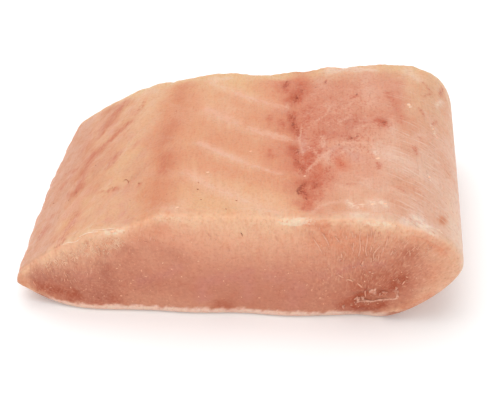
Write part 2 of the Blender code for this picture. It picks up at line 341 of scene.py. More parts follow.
FLAP_STREAKS = [
    (1.7, 0.85, (-41.8, 33), (-44.5, 27), (-46.8, 20)),
    (1.4, 0.85, (-37.4, 17.2), (-40.4, 13.8)),
    (0.8, 0.75, (-40.4, 13.8), (-44, 9.2)),
    (1.6, 1.15, (-44.2, 8.4), (-46, 6.4), (-48, 3.8)),
    (1.4, 0.7, (-48.2, 3), (-49.4, -4.5)),
    (1.1, 0.6, (-49.2, -6), (-49.4, -12)),
    (1.4, 1, (-48, -12.2), (-49.8, -14.8)),
    (1.2, 0.75, (-38.2, -1), (-40.4, -7.8)),
    (0.8, 0.7, (-53.5, -12), (-50.5, -15.5)),
    (0.8, 0.85, (-35.8, -21.2), (-37.8, -22.4)),
    (0.6, 0.6, (-38.4, -22), (-41, -21)),
    (1.2, 1, (-58.2, -25.4), (-58.8, -28.2)),
    (0.7, 0.7, (-56.6, -19.6), (-56.2, -21.4)),
    (1.9, 0.6, (-47, -29), (-48.3, -33), (-49.4, -40)),
    (1, 0.7, (-56.5, 2.8), (-53, 1)),
    (0.9, 0.65, (-54.6, -2), (-56.8, -5.6)),
    (1, 0.55, (-51, 22), (-53.4, 12)),
    (0.8, 0.5, (-33.6, 30), (-35.8, 22)),
    (0.7, 0.95, (-22.6, -9), (-22.4, -13), (-22.9, -16.5), (-21.6, -18.6)),
    (0.6, 0.55, (-20.4, -16.6), (-19.4, -14)),
]
SEAM_HALO_LINES = [
    (6.6, 1, (17.4, 40), (18.2, 18)),
    (7, 1, (18.4, 17), (17.6, 3)),
    (3.5, 0.6, (11.5, 33), (12, 23)),
    (6.6, 0.8, (15.5, -2), (16.5, -16)),
    (4.6, 0.9, (21.5, -6), (22, -20)),
    (3, 0.45, (9, -6), (9.5, -14)),
    (3.4, 0.8, (12, 15), (12, 6)),
    (3.6, 0.8, (12.4, -5.5), (13.4, -12)),
    (2.6, 0.35, (8, -7), (9.5, -11)),
    (2.6, 0.4, (12, 23), (12, 16)),
    (2.8, 0.6, (8.8, 12), (9, 7.5)),
    (2.8, 0.42, (8, -5), (9, -11)),
    (6, 0.75, (19, -18), (20.5, -33)),
    (3.2, 0.85, (15.4, -26), (17.4, -33)),
    (4.2, 0.7, (20.5, -33), (23, -39)),
]
BLOOD_LINES = [
    (1.3, 0.85, (13.4, 34.4), (12.9, 30), (13.8, 27.4)),
    (1.9, 0.85, (18.6, 34), (18, 27)),
    (2, 1, (17.6, 28), (17.2, 23.5), (15.6, 22)),
    (1.6, 0.9, (15.6, 15.5), (16.2, 9), (17.9, 3)),
    (1.4, 0.55, (12.4, 10), (13.6, 5)),
    (1.8, 0.7, (20.6, 17), (20.2, 9)),
    (0.8, 0.6, (8.6, 13), (8.4, 11)),
    (1.8, 0.9, (16.7, -5), (17.2, -8), (17.6, -12), (18.8, -17.8)),
    (1, 0.6, (8.8, -7.6), (9.6, -10.4)),
    (1.7, 1.3, (21.8, -5.8), (22.4, -9.6)),
    (1.8, 0.5, (24, 1.6), (25.6, -0.6)),
    (1.9, 1.4, (21, -11.5), (20.3, -17)),
    (1.8, 0.9, (20.2, -23.8), (19.2, -27), (20.6, -30.5)),
    (3, 0.82, (23.4, -21.5), (23, -26), (22, -31)),
    (2.2, 0.75, (21, -23), (20.8, -29.5)),
    (1.5, 0.8, (21.4, -31), (20.4, -35.4)),
]
BLOOD_DARK_LINES = [
    (0.7, 0.8, (13.5, 33), (12.9, 30.6)),
    (0.9, 1, (17.2, 25.2), (16.4, 22.2)),
    (0.7, 0.6, (18.6, 30), (18.2, 27.5)),
    (0.7, 0.75, (15.2, 14.4), (15.6, 11)),
    (0.8, 0.8, (16.2, 9.6), (16.8, 6.4)),
    (0.7, 0.8, (17.2, 4.6), (17.6, 2.6)),
    (0.8, 0.85, (17.2, -5.2), (17.7, -8)),
    (0.6, 0.8, (17.4, -11), (18.2, -13.6)),
    (0.5, 0.7, (19, -15.6), (19.4, -17.4)),
    (0.9, 0.85, (19.8, -23.2), (18.6, -25.6), (18.6, -28.2)),
    (0.6, 0.6, (19.6, -28.2), (20.4, -31)),
    (0.7, 0.8, (23, -23.6), (22.6, -25.8)),
    (0.9, 0.7, (43.6, 8), (44.6, 6.6)),
    (0.7, 0.75, (33.2, -1.4), (34.2, -2.2)),
    (0.6, 0.4, (64.6, 32), (64, 29.6)),
]
CRACKS = [
    (0.46, 0.85, (19, -23.2), (18.6, -24.6), (18, -25.8), (17.9, -28.2)),
    (0.38, 0.85, (18.4, -26.2), (19.6, -27.2), (20.4, -29)),
    (0.32, 0.6, (20.2, -30.2), (20, -31.2)),
    (0.5, 1, (17.2, 24.6), (16.9, 23.8)),
    (0.32, 0.75, (13.6, 35.4), (13.1, 33.8)),
    (0.4, 0.7, (12.8, 31.8), (12.6, 30.8)),
    (0.32, 0.8, (16.6, 13.4), (16.4, 11.6)),
    (0.42, 0.9, (16, 9.4), (15.9, 8.2)),
    (0.36, 0.85, (17.6, 4.8), (17.2, 3.6)),
    (0.42, 0.85, (17.8, -6), (17.9, -7.2)),
    (0.36, 0.8, (18.4, -15.6), (18.8, -17.2)),
    (0.4, 0.7, (44.2, 7.6), (44.8, 6.6)),
    (0.4, 0.8, (35.6, 0.3), (35.6, -0.4)),
    (0.45, 0.8, (33.4, -1.3), (34.2, -1.9)),
    (0.34, 0.75, (30, -4.6), (30.6, -5.2)),
    (0.38, 0.75, (36.4, 23.6), (36, 22.8)),
    (0.38, 0.7, (26.4, 32.2), (26.2, 31.4)),
    (0.36, 0.6, (23.1, 29.9), (23, 29.2)),
    (0.36, 0.6, (30, 16.9), (30.1, 16.2)),
    (0.34, 0.7, (-50, -14), (-49.6, -15.2)),
    (0.3, 0.6, (-37.2, -21.4), (-36.2, -21)),
]
FLUSH_LINES = [
    (2.2, 0.85, (29.2, -9), (30.4, -12), (31.2, -15)),
    (2.2, 0.5, (22.6, -16.4), (24.4, -19.6)),
]
BACK_RED_LINES = [
    (1.9, 1.2, (42.6, 8.6), (44.4, 6)),
    (1.5, 0.5, (46.4, 24), (48.2, 18), (49.4, 8)),
    (1.2, 0.95, (33, -1.2), (34.6, -2.6)),
    (0.9, 0.75, (36.2, 23), (34.6, 21.2)),
    (0.7, 0.7, (26.6, 33), (26.2, 31)),
    (0.6, 0.65, (27.6, 22.4), (28.8, 21.2)),
    (0.7, 0.65, (35.2, 9.4), (35.6, 8)),
    (0.6, 0.65, (35.6, 0.8), (36, -0.6)),
    (0.6, 0.6, (30, -4.6), (30.6, -5.6)),
    (0.7, 0.6, (25.6, 3.4), (26.2, 1.6)),
    (0.9, 0.65, (22, -1.6), (23.4, -3.6)),
    (0.9, 0.7, (52.9, -4), (53, -7)),
    (1.6, 0.4, (28.8, -10.6), (31.2, -16.5)),
    (2, 0.6, (26.5, -17), (27, -22)),
    (0.8, 0.65, (41, -14), (41.4, -16.5)),
    (0.5, 0.55, (60.8, 27), (58, 24)),
    (0.6, 0.55, (58, 31), (60.2, 28)),
    (0.8, 0.6, (65, 33.5), (64, 29)),
    (0.5, 0.8, (61.4, 13), (59.6, 10.6)),
    (0.5, 0.75, (55.6, 16.6), (57.2, 13)),
    (0.8, 0.5, (46.2, -24), (48.6, -26)),
    (0.5, 0.55, (32, -24.4), (34.4, -24.2)),
]
BACK_ORANGE_LINES = [
    (3, 0.5, (47, -22), (52, -25.5)),
    (1.8, 0.5, (46, -31), (47, -33.5)),
    (3, 0.2, (30, 29), (36, 31)),
    (3, 0.42, (50.5, 11), (50, -6)),
    (2.4, 0.4, (62.5, -4), (63, -10)),
    (2.2, 0.45, (65, 31), (65.4, 22)),
    (2.6, 0.45, (29, -31), (30, -36)),
    (3, 0.45, (45, -29), (48.6, -35)),
]
# A small oval mark on the back
OVAL = [(1.1, 1.3, (59.4, -31.8), (58.9, -33))]
DUSK_DARK_LINES = [
    (4, 0.75, (22, 9), (30, 6), (36, 8)),
    (2.6, 0.6, (22, 2), (30, 1.5), (33, 1)),
    (2.6, 0.6, (21.5, 14), (21, 24)),
    (3, 0.5, (23.5, -1), (22.5, -8)),
    (2.6, 0.95, (24, 0), (30.5, 5)),
]
# Pale membrane, with a painted sheen on it over the flank and along the rims
MEMBRANE_SHEEN_LINES = [
    (1.4, 0.5, (41.6, -5), (42, -12)),
    (2.4, 0.5, (43, -8), (48, -12.5), (57, -16.5)),
    (1.3, 0.6, (32.6, -32.4), (34.4, -34.6)),
    (1.3, 0.6, (39, -32.6), (39.8, -34.8)),
    (1.3, 0.6, (40.8, -31), (42.6, -33.2)),
    (2.4, 1.3, (51, -36), (55, -39.4)),
    (1.6, 1.5, (47, -39.6), (56, -39.8)),
    (2, 1.9, (33, -39), (41, -39.2)),
    (0.9, 0.5, (61.6, 21), (64.2, 26.4)),
    (0.8, 0.4, (57.5, 15), (60.5, 7)),
    (2.4, 0.3, (-15, -35.5), (-14, -40)),
    (2.6, 0.32, (38.5, 36), (40.5, 20)),
    (2.4, 0.25, (25, 33), (25, 28)),
    (2, 1.1, (27.5, 38.8), (42, 38.6)),
    (2, 0.7, (54, 39.5), (57, 33)),
    (1.8, 0.45, (-33, 37), (-31, 34.5)),
    (1.4, 0.7, (-12, 36.6), (-6, 37.2)),
    (1.6, 0.55, (-18.4, -38.8), (-15, -40)),
    (1.7, 0.5, (36.6, -24), (40, -25)),
    (1.3, 0.4, (46.6, 6), (46, 3)),
]
# White flecks: where the membrane is torn and thick, with a painted sheen on the flank
WHITE_FLECK_SHEEN_LINES = [
    (1.2, 0.6, (32, -32), (33.4, -33.6)),
    (1.2, 0.5, (34.6, -34.6), (36, -33)),
    (1.1, 0.54, (38.8, -31.4), (39.4, -32.8)),
    (1.2, 0.56, (41.4, -31.6), (42.8, -33.2)),
    (1.2, 0.4, (40.6, -6.4), (41.4, -11.6)),
    (0.6, 0.9, (56.2, -15.2), (57, -17)),
    (0.5, 0.9, (52.4, 18.8), (53, 16.4)),
    (1.4, 0.6, (50.4, -35.8), (52.4, -37.6)),
    (1.7, 0.66, (52.6, -38), (55.4, -39.8)),
    (0.9, 0.6, (47.4, -37.2), (48.6, -38.4)),
    (0.7, 0.6, (57.4, -37.6), (58.8, -38.6)),
    (0.6, 0.8, (62, 22), (63.4, 25)),
    (0.6, 0.7, (59, 10), (60.6, 5)),
    (0.5, 0.7, (-15.6, -36.8), (-15.8, -38.4)),
]
VEIL_LINES = [
    (1.5, 0.55, (18.4, 2), (19.6, -6)),
    (1.2, 0.55, (20.6, -4.6), (20.4, -7.4)),
    (1.2, 0.35, (24.8, -4), (25.6, -6)),
    (2.4, 0.5, (26, -9), (33, -7), (36, -12)),
    (1.3, 0.35, (26.4, -10), (26.2, -12.4)),
    (1.2, 0.45, (16.6, -18.8), (19.6, -19.6)),
    (1.2, 0.4, (14.2, 19.6), (13.6, 17)),
]
# Pale threads and wisps on the top beside the seam
WISP_LINES = [
    (0.45, 0.7, (18.8, 8), (18.6, 3.6), (17.9, 0.4), (18.3, -3.4), (19.2, -8)),
    (0.4, 0.45, (19.2, -8), (18.9, -11), (19.5, -14)),
    (0.8, 0.95, (20.6, -17.4), (22.6, -14.6), (24.6, -11.6), (27.2, -8.2)),
    (0.8, 0.85, (26.2, -9), (26.6, -11.6), (26.4, -13.4)),
    (0.8, 0.8, (25, 0.6), (25.5, -3), (25.2, -5.8)),
    (0.7, 0.7, (20.6, -4.6), (22.6, -7.2), (23.8, -10.8)),
    (0.9, 0.75, (29.6, -4.4), (33.2, -4.2), (36.4, -3.4), (39.6, -4.6)),
    (0.9, 0.6, (30.6, -8.2), (34.6, -7), (38.4, -8.4)),
    (1, 0.65, (14.6, 0.8), (12, 1.4), (9, 2.8)),
    (0.6, 0.7, (13.8, 19.4), (14, 17.6)),
    (0.6, 0.65, (22.4, 7.6), (24.4, 9.4), (26.8, 12.6), (27.4, 16.6)),
    (0.6, 0.6, (29.6, 6.8), (31.6, 8.6), (33.8, 11)),
    (0.6, 0.6, (33.8, 2.6), (37, 4.2), (39.4, 7)),
    (0.7, 0.5, (30.4, 13.8), (33.6, 16.4), (35.2, 19.6)),
    (0.7, 0.75, (31, -31.6), (26.8, -32.8), (23.8, -35.2), (22, -38)),
    (0.9, 0.6, (28.6, -24.4), (31.6, -26.4), (36, -27)),
    (0.9, 0.55, (34, -20), (37, -21.6), (41.4, -21)),
]

# Long marks on the front cut: half width, strength and points (x, z)
CUT_RED_LINES = [
    # The first one, low by the belly tip, is partly redder flesh and partly painted shade where the face
    # turns under
    (2.2, 0.95, (-57.8, 6.2), (-49, 5.8), (-46.5, 6)),
    (1.8, 0.5, (-34.4, 7), (-34, 5)),
    (1.2, 0.6, (-49.5, 4), (-47.5, 4.6)),
    (1.8, 0.5, (-5, 4.2), (-1, 3.6)),
    (2.2, 0.82, (32.6, 6), (35.6, 8), (38.6, 11.5)),
    (1.9, 1, (35, 4.6), (39, 5.4), (43, 6.4)),
    (2, 0.75, (44, 12), (46, 15), (48.6, 17.6)),
    (1.2, 0.4, (39.4, 10.4), (41.4, 10), (45, 11)),
    (1.5, 0.55, (35.6, 8.4), (41.6, 8)),
    (2, 0.35, (45, 6.6), (50, 8)),
    (1, 0.8, (38.4, 11), (38.9, 13.6)),
    (1, 0.7, (45.2, 13), (45.8, 14.4)),
    (0.8, 0.7, (47.4, 15.4), (48.4, 16.4)),
]
# Brown over the left of the front cut, darkest low down: partly browner flesh, partly painted shade where the
# face turns under
CUT_BROWN_LINES = [
    (4.2, 1.1, (-59.4, 8.4), (-55, 10.5), (-48, 12)),
    (3.4, 0.9, (-37.4, 17.6), (-37.6, 8)),
    (3, 0.55, (-53, 17), (-44, 21)),
    (3.4, 0.7, (-44, 11.5), (-38, 12)),
    (4.6, 1, (-49, 8.5), (-38, 6)),
    (3, 0.6, (-56, 8), (-44, 9)),
    (3, 0.6, (-36, 23), (-30, 25)),
    (4, 0.3, (-30, 19), (-24, 14)),
    (3.4, 0.3, (-25, 26.5), (-16, 22)),
]
CUT_RUST_LINES = [
    (3, 0.6, (36, 14), (38, 17)),
    (3.8, 0.68, (37, 16), (41, 17.5), (46, 16.5)),
    (3.6, 0.6, (46, 21), (49.5, 25.5)),
    (2.2, 0.6, (48, 26), (54, 29.4)),
    (3.2, 0.66, (35, 13), (44, 13), (48, 14.5)),
    (2.2, 0.35, (47, 32), (52, 29)),
    (2.6, 0.35, (31, 25), (37, 25)),
    (2, 0.5, (51, 5.4), (56.5, 9.4)),
]
CUT_FOOT_LINES = [
    (3.6, 0.95, (-32, 5.6), (-20, 5), (-8, 4.6)),
    (2.4, 0.45, (-3, 2.6), (30, 2.6)),
]
CUT_PURPLE_LINES = [
    (1.8, 0.75, (-27, 13), (-17, 17.5)),
    (2.2, 0.8, (-8.5, 7.5), (-8, 14), (4, 16.5)),
    (2.4, 0.65, (4, 15), (4.5, 9)),
    (3, 0.55, (11, 17), (19, 12), (17, 6)),
    (1.6, 0.45, (21, 17), (27, 16.5)),
    (1.2, 0.8, (31, 19.5), (36, 21.5), (42, 21.5)),
    (1.6, 0.8, (-46, 14), (-42, 13)),
]
CUT_ORANGE_LINES = [
    (2, 0.9, (21.5, 36.5), (24.5, 33.5), (28, 31)),
    (2.6, 0.6, (29, 32.5), (37, 29)),
    (2.6, 0.7, (23, 30), (34, 27.5)),
    (2.6, 0.45, (-27, 31), (-20, 32)),
    (1.4, 0.3, (-36, 26.5), (-32, 28)),
    (1.8, 0.7, (51, 32.8), (55.5, 30.2), (59, 27)),
    (2, 1.2, (51.4, 5.6), (54.5, 7.6), (57, 9.6)),
    (2, 0.5, (57.2, 21), (57.4, 18)),
]

# Threads on the front cut, and the ledge of torn flesh, as points (x, z)
THREADS = [
    [(35.6, 34.2), (35.4, 31), (35.8, 27.5), (35.3, 24.2)],
    [(37.2, 33.4), (37.6, 30.5), (37.3, 27), (37.9, 24.6)],
    [(39.7, 33.8), (39.5, 31.2), (40, 29.5)],
    [(41.6, 29), (40.6, 27.5), (39.6, 25.6), (40, 23.4)],
    [(42.4, 28.6), (42, 26.5)],
    [(33.2, 33.2), (33.4, 31)],
    [(34.3, 32.5), (34.1, 30.8)],
    [(45.1, 27.3), (44.2, 25.3)],
    [(24.5, 33), (26.3, 30), (27.2, 27.5)],
    [(22.3, 31), (24, 28), (25.5, 25)],
    [(30.5, 26), (30.9, 23.5)],
    [(30, 18.2), (31, 17.4), (31.8, 17.1)],
    [(32.6, 16.6), (33.8, 16.2), (34.6, 15.9)],
    [(35.6, 15.3), (36.6, 14.4), (37.2, 13.7)],
    [(38.2, 12.6), (38.3, 10.4), (38.6, 8.6)],
    [(33.9, 29.6), (33.7, 27.6), (34, 26)],
    [(38.6, 34.6), (38.5, 32.6), (38.7, 31)],
    [(40.9, 33.4), (40.8, 31.4)],
    [(43.2, 31.6), (43, 29.8), (42.6, 28.2)],
    [(38.9, 24.8), (39.2, 22.6)],
    [(36.9, 23.4), (36.6, 21.6)],
    [(31.6, 32.2), (31.8, 30.2)],
    [(41.2, 25.6), (41, 23.4)],
    [(28.4, 31.6), (30, 29.4)],
    [(39, 28.4), (38.6, 26)],
    [(36.4, 28.6), (36.8, 26.4)],
    [(48.4, 15.2), (49.2, 16.8)],
]
LEDGE = [
    (35.7, 6.8), (37.5, 7.4), (40.2, 7.4), (43, 8.2),
    (46.9, 9.5), (47.6, 10.8), (46.8, 12.4), (46.9, 13.4),
]
# Lumps over the tear: x, z, half width and half height
TEAR_LUMPS = [
    (40.2, 12.2, 1, 1.4),
    (40.8, 10.9, 0.8, 0.9),
    (43.8, 11.5, 1, 0.6),
    (36.2, 8.5, 0.8, 0.4),
    (42.6, 10.2, 0.5, 0.5),
    (37.8, 8.4, 0.6, 0.6),
    (36.4, 7.4, 0.7, 0.6),
    (32.3, 5, 0.4, 1),
    (47, 12.6, 0.5, 1.1),
    (39, 19.6, 0.5, 0.35),
    (30.4, 23.4, 0.4, 0.4),
    (34.4, 21, 0.4, 0.25),
    (36.5, 22, 0.3, 0.3),
]
# Dark specks on the top: x, y and size
DARK_SPECKS = [
    (-10.9, -24.4, 0.25),
    (-10.8, -28, 0.3),
    (0.6, -32.6, 0.3),
    (-9.4, -33.2, 0.25),
    (-19.4, -30.6, 0.25),
    (-22, 18.4, 0.25),
    (-45.2, -3.8, 0.25),
    (-30.6, -28.2, 0.2),
    (-49.6, -14.4, 0.3),
    (-51.6, -17, 0.25),
    (-37.4, -21.6, 0.3),
    (-29, -20.6, 0.25),
    (-57.8, -12.4, 0.25),
    (-2, -38, 0.25),
    (-15.4, -38.4, 0.25),
]
# A dark hair on the top, as (x, y), and one on the front cut, as (x, z)
DARK_HAIR = [(-33.9, -17.9), (-33.1, -17.7), (-32.5, -18.5), (-32.3, -19.4)]
FRONT_HAIR = [(2.2, 31.9), (2.6, 31.3), (2.7, 30.5)]
# White crumbs on the top: x, y and size
WHITE_BITS = [
    (41.4, -11.8, 0.7),
    (52.6, 17.8, 0.6),
    (59.6, 8.2, 0.5),
    (60.6, 4.6, 0.4),
    (34.6, -27.7, 0.5),
    (38.9, -33, 0.6),
    (42.4, -32.6, 0.6),
    (32.6, -32.2, 0.6),
    (19.8, -19.7, 0.4),
    (56.4, -16, 0.6),
    (-15.7, -37.8, 0.6),
    (-33.8, -41.2, 0.7),
    (3.5, -7.6, 0.5),
    (-8.6, -19.2, 0.5),
]

# Where along the front crest its edge is white, with membrane and a painted highlight: centre, half width and
# strength
CREST_WHITE_HIGHLIGHT_PLACES = [
    (17.5, 4.5, 1),
    (29, 5, 0.1),
    (40, 7, 0.5),
    (53, 5, 0.2),
    (-47, 6, 0.2),
    (-34, 5, 0.6),
    (-16, 9, 0.28),
]
# Where the pale line along the foot of a cut is higher or lower: centre, half width and height
FOOT_PLACES = [(-36, 5, 0.2), (31, 2.6, 0.3), (-3, 1.8, -0.4), (24.4, 1.6, -0.5), (37.5, 2.5, -0.5)]
# Fine threads, and pale crumbs that stand partly for bits of fat and partly for painted glints of wet, on the
# front cut: from X, to X and how many
FINE_THREADS = [(-60, -32, 46), (-30, 20, 24), (20, 58, 76)]
CRUMBS_AND_GLINTS = [(-56, -26, 26), (-26, 24, 26), (24, 56, 40)]
# Threads on the front crest: how far behind the cut, from X and to X. Then how many curls hang from it
CREST_THREADS = [(0.3, -49.5, -41), (0.45, -44, -33), (0.9, -40, -31)]
CURLS = 150


def mix(first, last, share):
    """The value a share of the way from first to last."""
    return first + (last - first) * share


def ease(low, high, value):
    """0 up to low, 1 from high on, and smooth between."""
    share = np.clip((value - low) / (high - low), 0, 1)
    return share * share * (3 - 2 * share)


def fade(distance, reach, power=2):
    """1 at no distance, falling off smoothly past about this reach, and faster for a higher power."""
    return np.exp(-((distance / reach) ** power))


def bump(value, centre, half_width):
    """1 at the centre, falling off smoothly on both sides."""
    return fade(value - centre, half_width)


def bumps(value, places):
    """The sum of several bumps, each given by its centre, half width and height."""
    return sum(height * bump(value, centre, half_width) for centre, half_width, height in places)


def corner_inset(distance, radius):
    """How far a rounded corner stands in from its edge, at this distance from the corner's end."""
    inside = np.clip(1 - distance / radius, 0, 1)
    return radius * (1 - np.sqrt(1 - inside * inside))


def superellipse(share, power):
    """1 at share 0 and 0 at share 1, with a vertical end."""
    return (1 - np.clip(share, 0, 1) ** power) ** (1 / power)


def uneven(x, y, size, seed):
    """Smooth unevenness between about -1 and 1: a few waves in random directions."""
    waves = np.random.default_rng(seed)
    total = 0
    for _ in range(WAVES):
        angle, phase = waves.uniform(0, 2 * np.pi, 2)
        length = size * waves.uniform(*WAVE_LENGTHS)
        across = x * np.cos(angle) + y * np.sin(angle)
        total = total + np.sin(2 * np.pi * across / length + phase)
    return total * WAVE_SHARE


def belly_edge(along):
    """X of the belly edge. along is 0 at the front cut and 1 at the rear cut."""
    behind = (1 - along) * LENGTH
    edge = -WIDTH * BELLY_SHARE + BELLY_TAPER * along**BELLY_TAPER_POWER
    return edge + corner_inset(behind, REAR_BELLY_CORNER)


def back_edge(along):
    """X of the back edge."""
    ahead, behind = along * LENGTH, (1 - along) * LENGTH
    edge = WIDTH * (1 - BELLY_SHARE) + BACK_FLARE * along**BACK_FLARE_POWER
    return edge - corner_inset(behind, REAR_BACK_CORNER) - corner_inset(ahead, FRONT_BACK_CORNER)


def seam_x(along):
    """X of the middle seam, which bows towards the belly half-way along."""
    return SEAM_X + SEAM_BOW * np.cos(2 * np.pi * along)


def furrow_x(along):
    """X of the groove between the belly flap and the main muscle."""
    return BELLY_FURROW_X + BELLY_FURROW_DRIFT * along


def flake_phase(x, along):
    """Counts the sheets of gristle from front to rear: a whole number lies on a sheet. They run back on both
    sides of the seam, and forward again across the belly flap, as a W on its side."""
    y = (along - 0.5) * LENGTH
    over_flap = np.maximum(furrow_x(along) - x, 0)
    sideways = np.abs(x - seam_x(along)) - over_flap
    return (y - FIRST_FLAKE_Y - FLAKE_SLOPE * sideways + FLAP_SLOPE * over_flap) / FLAKE


def sheet_gap(x, along):
    """How far behind the nearest sheet of gristle a point lies, or in front of it where negative."""
    phase = flake_phase(x, along)
    return (phase - np.round(phase)) * FLAKE


def near_sheet(x, along, half_width):
    """1 on a sheet of gristle and 0 more than about half_width from it."""
    return bump(sheet_gap(x, along), 0, half_width)


def rim_drop(along, radius):
    """How far the rounded rims of both cuts take the surface down."""
    return corner_inset(along * LENGTH, radius) + corner_inset((1 - along) * LENGTH, radius)


def top_relief(x, along):
    """What the furrow, the seam and the flakes add to the top's height."""
    furrow = mix(BELLY_FURROW_FRONT, BELLY_FURROW_REAR, along**BELLY_FURROW_POWER)
    seam = seam_x(along)
    height = -furrow * bump(x, furrow_x(along), BELLY_FURROW_HALF)
    height = height - SEAM_DEPTH * bump(x, seam, SEAM_HALF) * ease(0, SEAM_FADE, along)
    height = height + SEAM_STEP * along * ease(seam, seam + SEAM_STEP_RUN, x)
    height = height + FLAKE_SWELL * np.cos(2 * np.pi * (flake_phase(x, along) - 0.5))
    height = height - FLAKE_GROOVE_DEPTH * near_sheet(x, along, FLAKE_GROOVE_HALF)
    height = height + UNEVEN_HEIGHT * uneven(x, along * LENGTH, UNEVEN_SIZE, UNEVEN_SEED)
    return height + LIP_HEIGHT * bump(along * LENGTH, LIP_PLACE, LIP_HALF)


def top_height(x, along):
    """Z of the upper surface."""
    tip, nose = belly_edge(along), back_edge(along)
    rear = mix(TOP_REAR_BELLY_SIDE, TOP_REAR_BACK_SIDE - SEAM_STEP, ease(*TOP_REAR_SPAN, x))
    crown = mix(THICKNESS, rear, along) + top_relief(x, along)
    run = mix(FLANK_RUN_FRONT, FLANK_RUN_REAR, along)
    rise = 1 - (1 - np.clip((x - tip) / run, 0, 1)) ** FLANK_POWER
    flank = mix(TIP_HEIGHT + TIP_ABOVE, crown, rise)
    thin = RIM_SHARE * (flank - TIP_HEIGHT)
    rim = mix(TOP_RIM_CRISP, TOP_RIM_SOFT, bump(x, SOFT_RIM_X, SOFT_RIM_HALF))
    flank = flank - np.minimum(rim_drop(along, rim), thin)
    over_tip = superellipse(1 - (x - tip) / TIP_ROUND, 2)
    at_tip = mix(TIP_HEIGHT, flank, over_tip)
    nose_run = mix(NOSE_RUN_FRONT, NOSE_RUN_REAR, along)
    over_nose = superellipse(1 - (nose - x) / nose_run, NOSE_POWER_TOP)
    return mix(NOSE_HEIGHT, at_tip, over_nose)


def under_relief(x, along):
    """Grooves in the underside, over the same sheets of gristle and along the seam. The rest lies flat."""
    y = (along - 0.5) * LENGTH
    sheet = near_sheet(x, along, UNDER_GROOVE_HALF)
    seam = bump(x, seam_x(along), UNDER_GROOVE_HALF)
    groove = ease(UNDER_GROOVE_FROM, 1, np.maximum(sheet, seam))
    inside_x = ease(0, UNDER_MARGIN, WIDTH * UNDER_REACH - np.abs(x))
    inside_y = ease(0, UNDER_MARGIN, LENGTH / 2 - np.abs(y))
    return UNDER_GROOVE_DEPTH * groove * inside_x * inside_y


def under_height(x, along):
    """Z of the underside."""
    tip, nose = belly_edge(along), back_edge(along)
    lift = np.clip(1 - (x - tip) / TIP_UNDER_RUN, 0, 1) ** TIP_UNDER_POWER
    under = (TIP_HEIGHT - TIP_BELOW) * lift + under_relief(x, along)
    thin = RIM_SHARE * (TIP_HEIGHT - under)
    under = under + np.clip(rim_drop(along, FOOT_RIM_ROUND), 0, thin)
    over_tip = superellipse(1 - (x - tip) / TIP_ROUND, 2)
    at_tip = mix(TIP_HEIGHT, under, over_tip)
    over_nose = superellipse(1 - (nose - x) / NOSE_RUN_UNDER, NOSE_POWER_UNDER)
    return mix(NOSE_HEIGHT, at_tip, over_nose)


def tear(x, z):
    """1 in the middle of the tear and 0 outside it."""
    level = z - TEAR_Z - TEAR_TILT * (x - TEAR_X)
    reach = np.hypot((x - TEAR_X) / TEAR_HALF_WIDTH, level / TEAR_HALF_HEIGHT)
    return 1 - ease(*TEAR_SLOPE, reach)


def cut_y(x, z, rear):
    """Y of a cut face: the front one, or the rear one where rear is 1."""
    level = np.clip(z / THICKNESS, 0, 1)
    swell = CUT_BULGE * 4 * level * (1 - level)
    wave = CUT_WAVE * uneven(x, z, CUT_WAVE_SIZE, UNEVEN_SEED + 1 + rear)
    tip_x = -WIDTH * BELLY_SHARE
    if rear:
        return LENGTH / 2 + swell + wave
    setback = TIP_SETBACK * (1 - ease(tip_x, tip_x + TIP_SETBACK_RUN, x)) ** TIP_SETBACK_POWER
    foot = FOOT_SETBACK * bump(x, FOOT_SETBACK_X, FOOT_SETBACK_HALF) * (1 - ease(0, FOOT_SETBACK_TOP, z))
    return -LENGTH / 2 - swell + CUT_LEAN * level + wave + setback + foot + TEAR_DEPTH * tear(x, z)


def evenly(points, count):
    """count + 1 points, evenly spaced along a line of many points."""
    steps = np.hypot(*np.diff(points, axis=0).T)
    run = np.concatenate([[0], np.cumsum(steps)])
    wanted = np.linspace(0, run[-1], count + 1)
    return np.stack([np.interp(wanted, run, points[:, i]) for i in range(2)], 1)


def section(along):
    """The four runs of the outline at a section, as (x, z): belly tip upwards, top towards the back, nose
    downwards and underside towards the belly."""
    tip, nose = belly_edge(along), back_edge(along)
    x = tip + (nose - tip) * (1 - np.cos(np.linspace(0, np.pi, DENSE))) / 2
    top = np.stack([x, top_height(x, along)], 1)
    under = np.stack([x, under_height(x, along)], 1)
    in_tip, in_nose = x < tip + TIP_SHARE, x > nose - NOSE_SHARE
    middle = ~in_tip & ~in_nose
    tip_run = np.concatenate([under[in_tip][::-1], top[in_tip][1:]])
    nose_run = np.concatenate([top[in_nose], under[in_nose][::-1][1:]])
    top_run = np.concatenate([tip_run[-1:], top[middle], nose_run[:1]])
    under_run = np.concatenate([nose_run[-1:], under[middle][::-1], tip_run[:1]])
    return (
        evenly(tip_run, AROUND_END),
        evenly(top_run, ACROSS),
        evenly(nose_run, AROUND_END),
        evenly(under_run, ACROSS),
    )


def stations():
    """Where the sections lie, from 0 at the front cut to 1 at the rear cut, closer together near the cuts."""
    even = np.linspace(0, 1, ALONG + 1)
    drawn = (1 - np.cos(np.pi * even)) / 2
    return mix(even, drawn, RIM_DENSITY)


def ring_points(along):
    """The points round one section, in space."""
    flat = np.concatenate([run[:-1] for run in section(along)])
    x, z = flat.T
    y = mix(cut_y(x, z, 0), cut_y(x, z, 1), along)
    return np.stack([x, y, z], 1)


def cut_points(along):
    """The points inside a cut face, filled in between its four edges."""
    tip, top, nose, under = section(along)
    nose, under = nose[::-1], under[::-1]
    across = np.linspace(0, 1, ACROSS + 1)[:, None, None]
    up = np.linspace(0, 1, AROUND_END + 1)[None, :, None]
    faces = mix(under[:, None], top[:, None], up) + mix(tip[None], nose[None], across)
    corners = mix(mix(under[0], under[-1], across), mix(top[0], top[-1], across), up)
    x, z = np.moveaxis((faces - corners)[1:-1, 1:-1], 2, 0)
    return np.stack([x, cut_y(x, z, round(along)), z], 2).reshape(-1, 3)


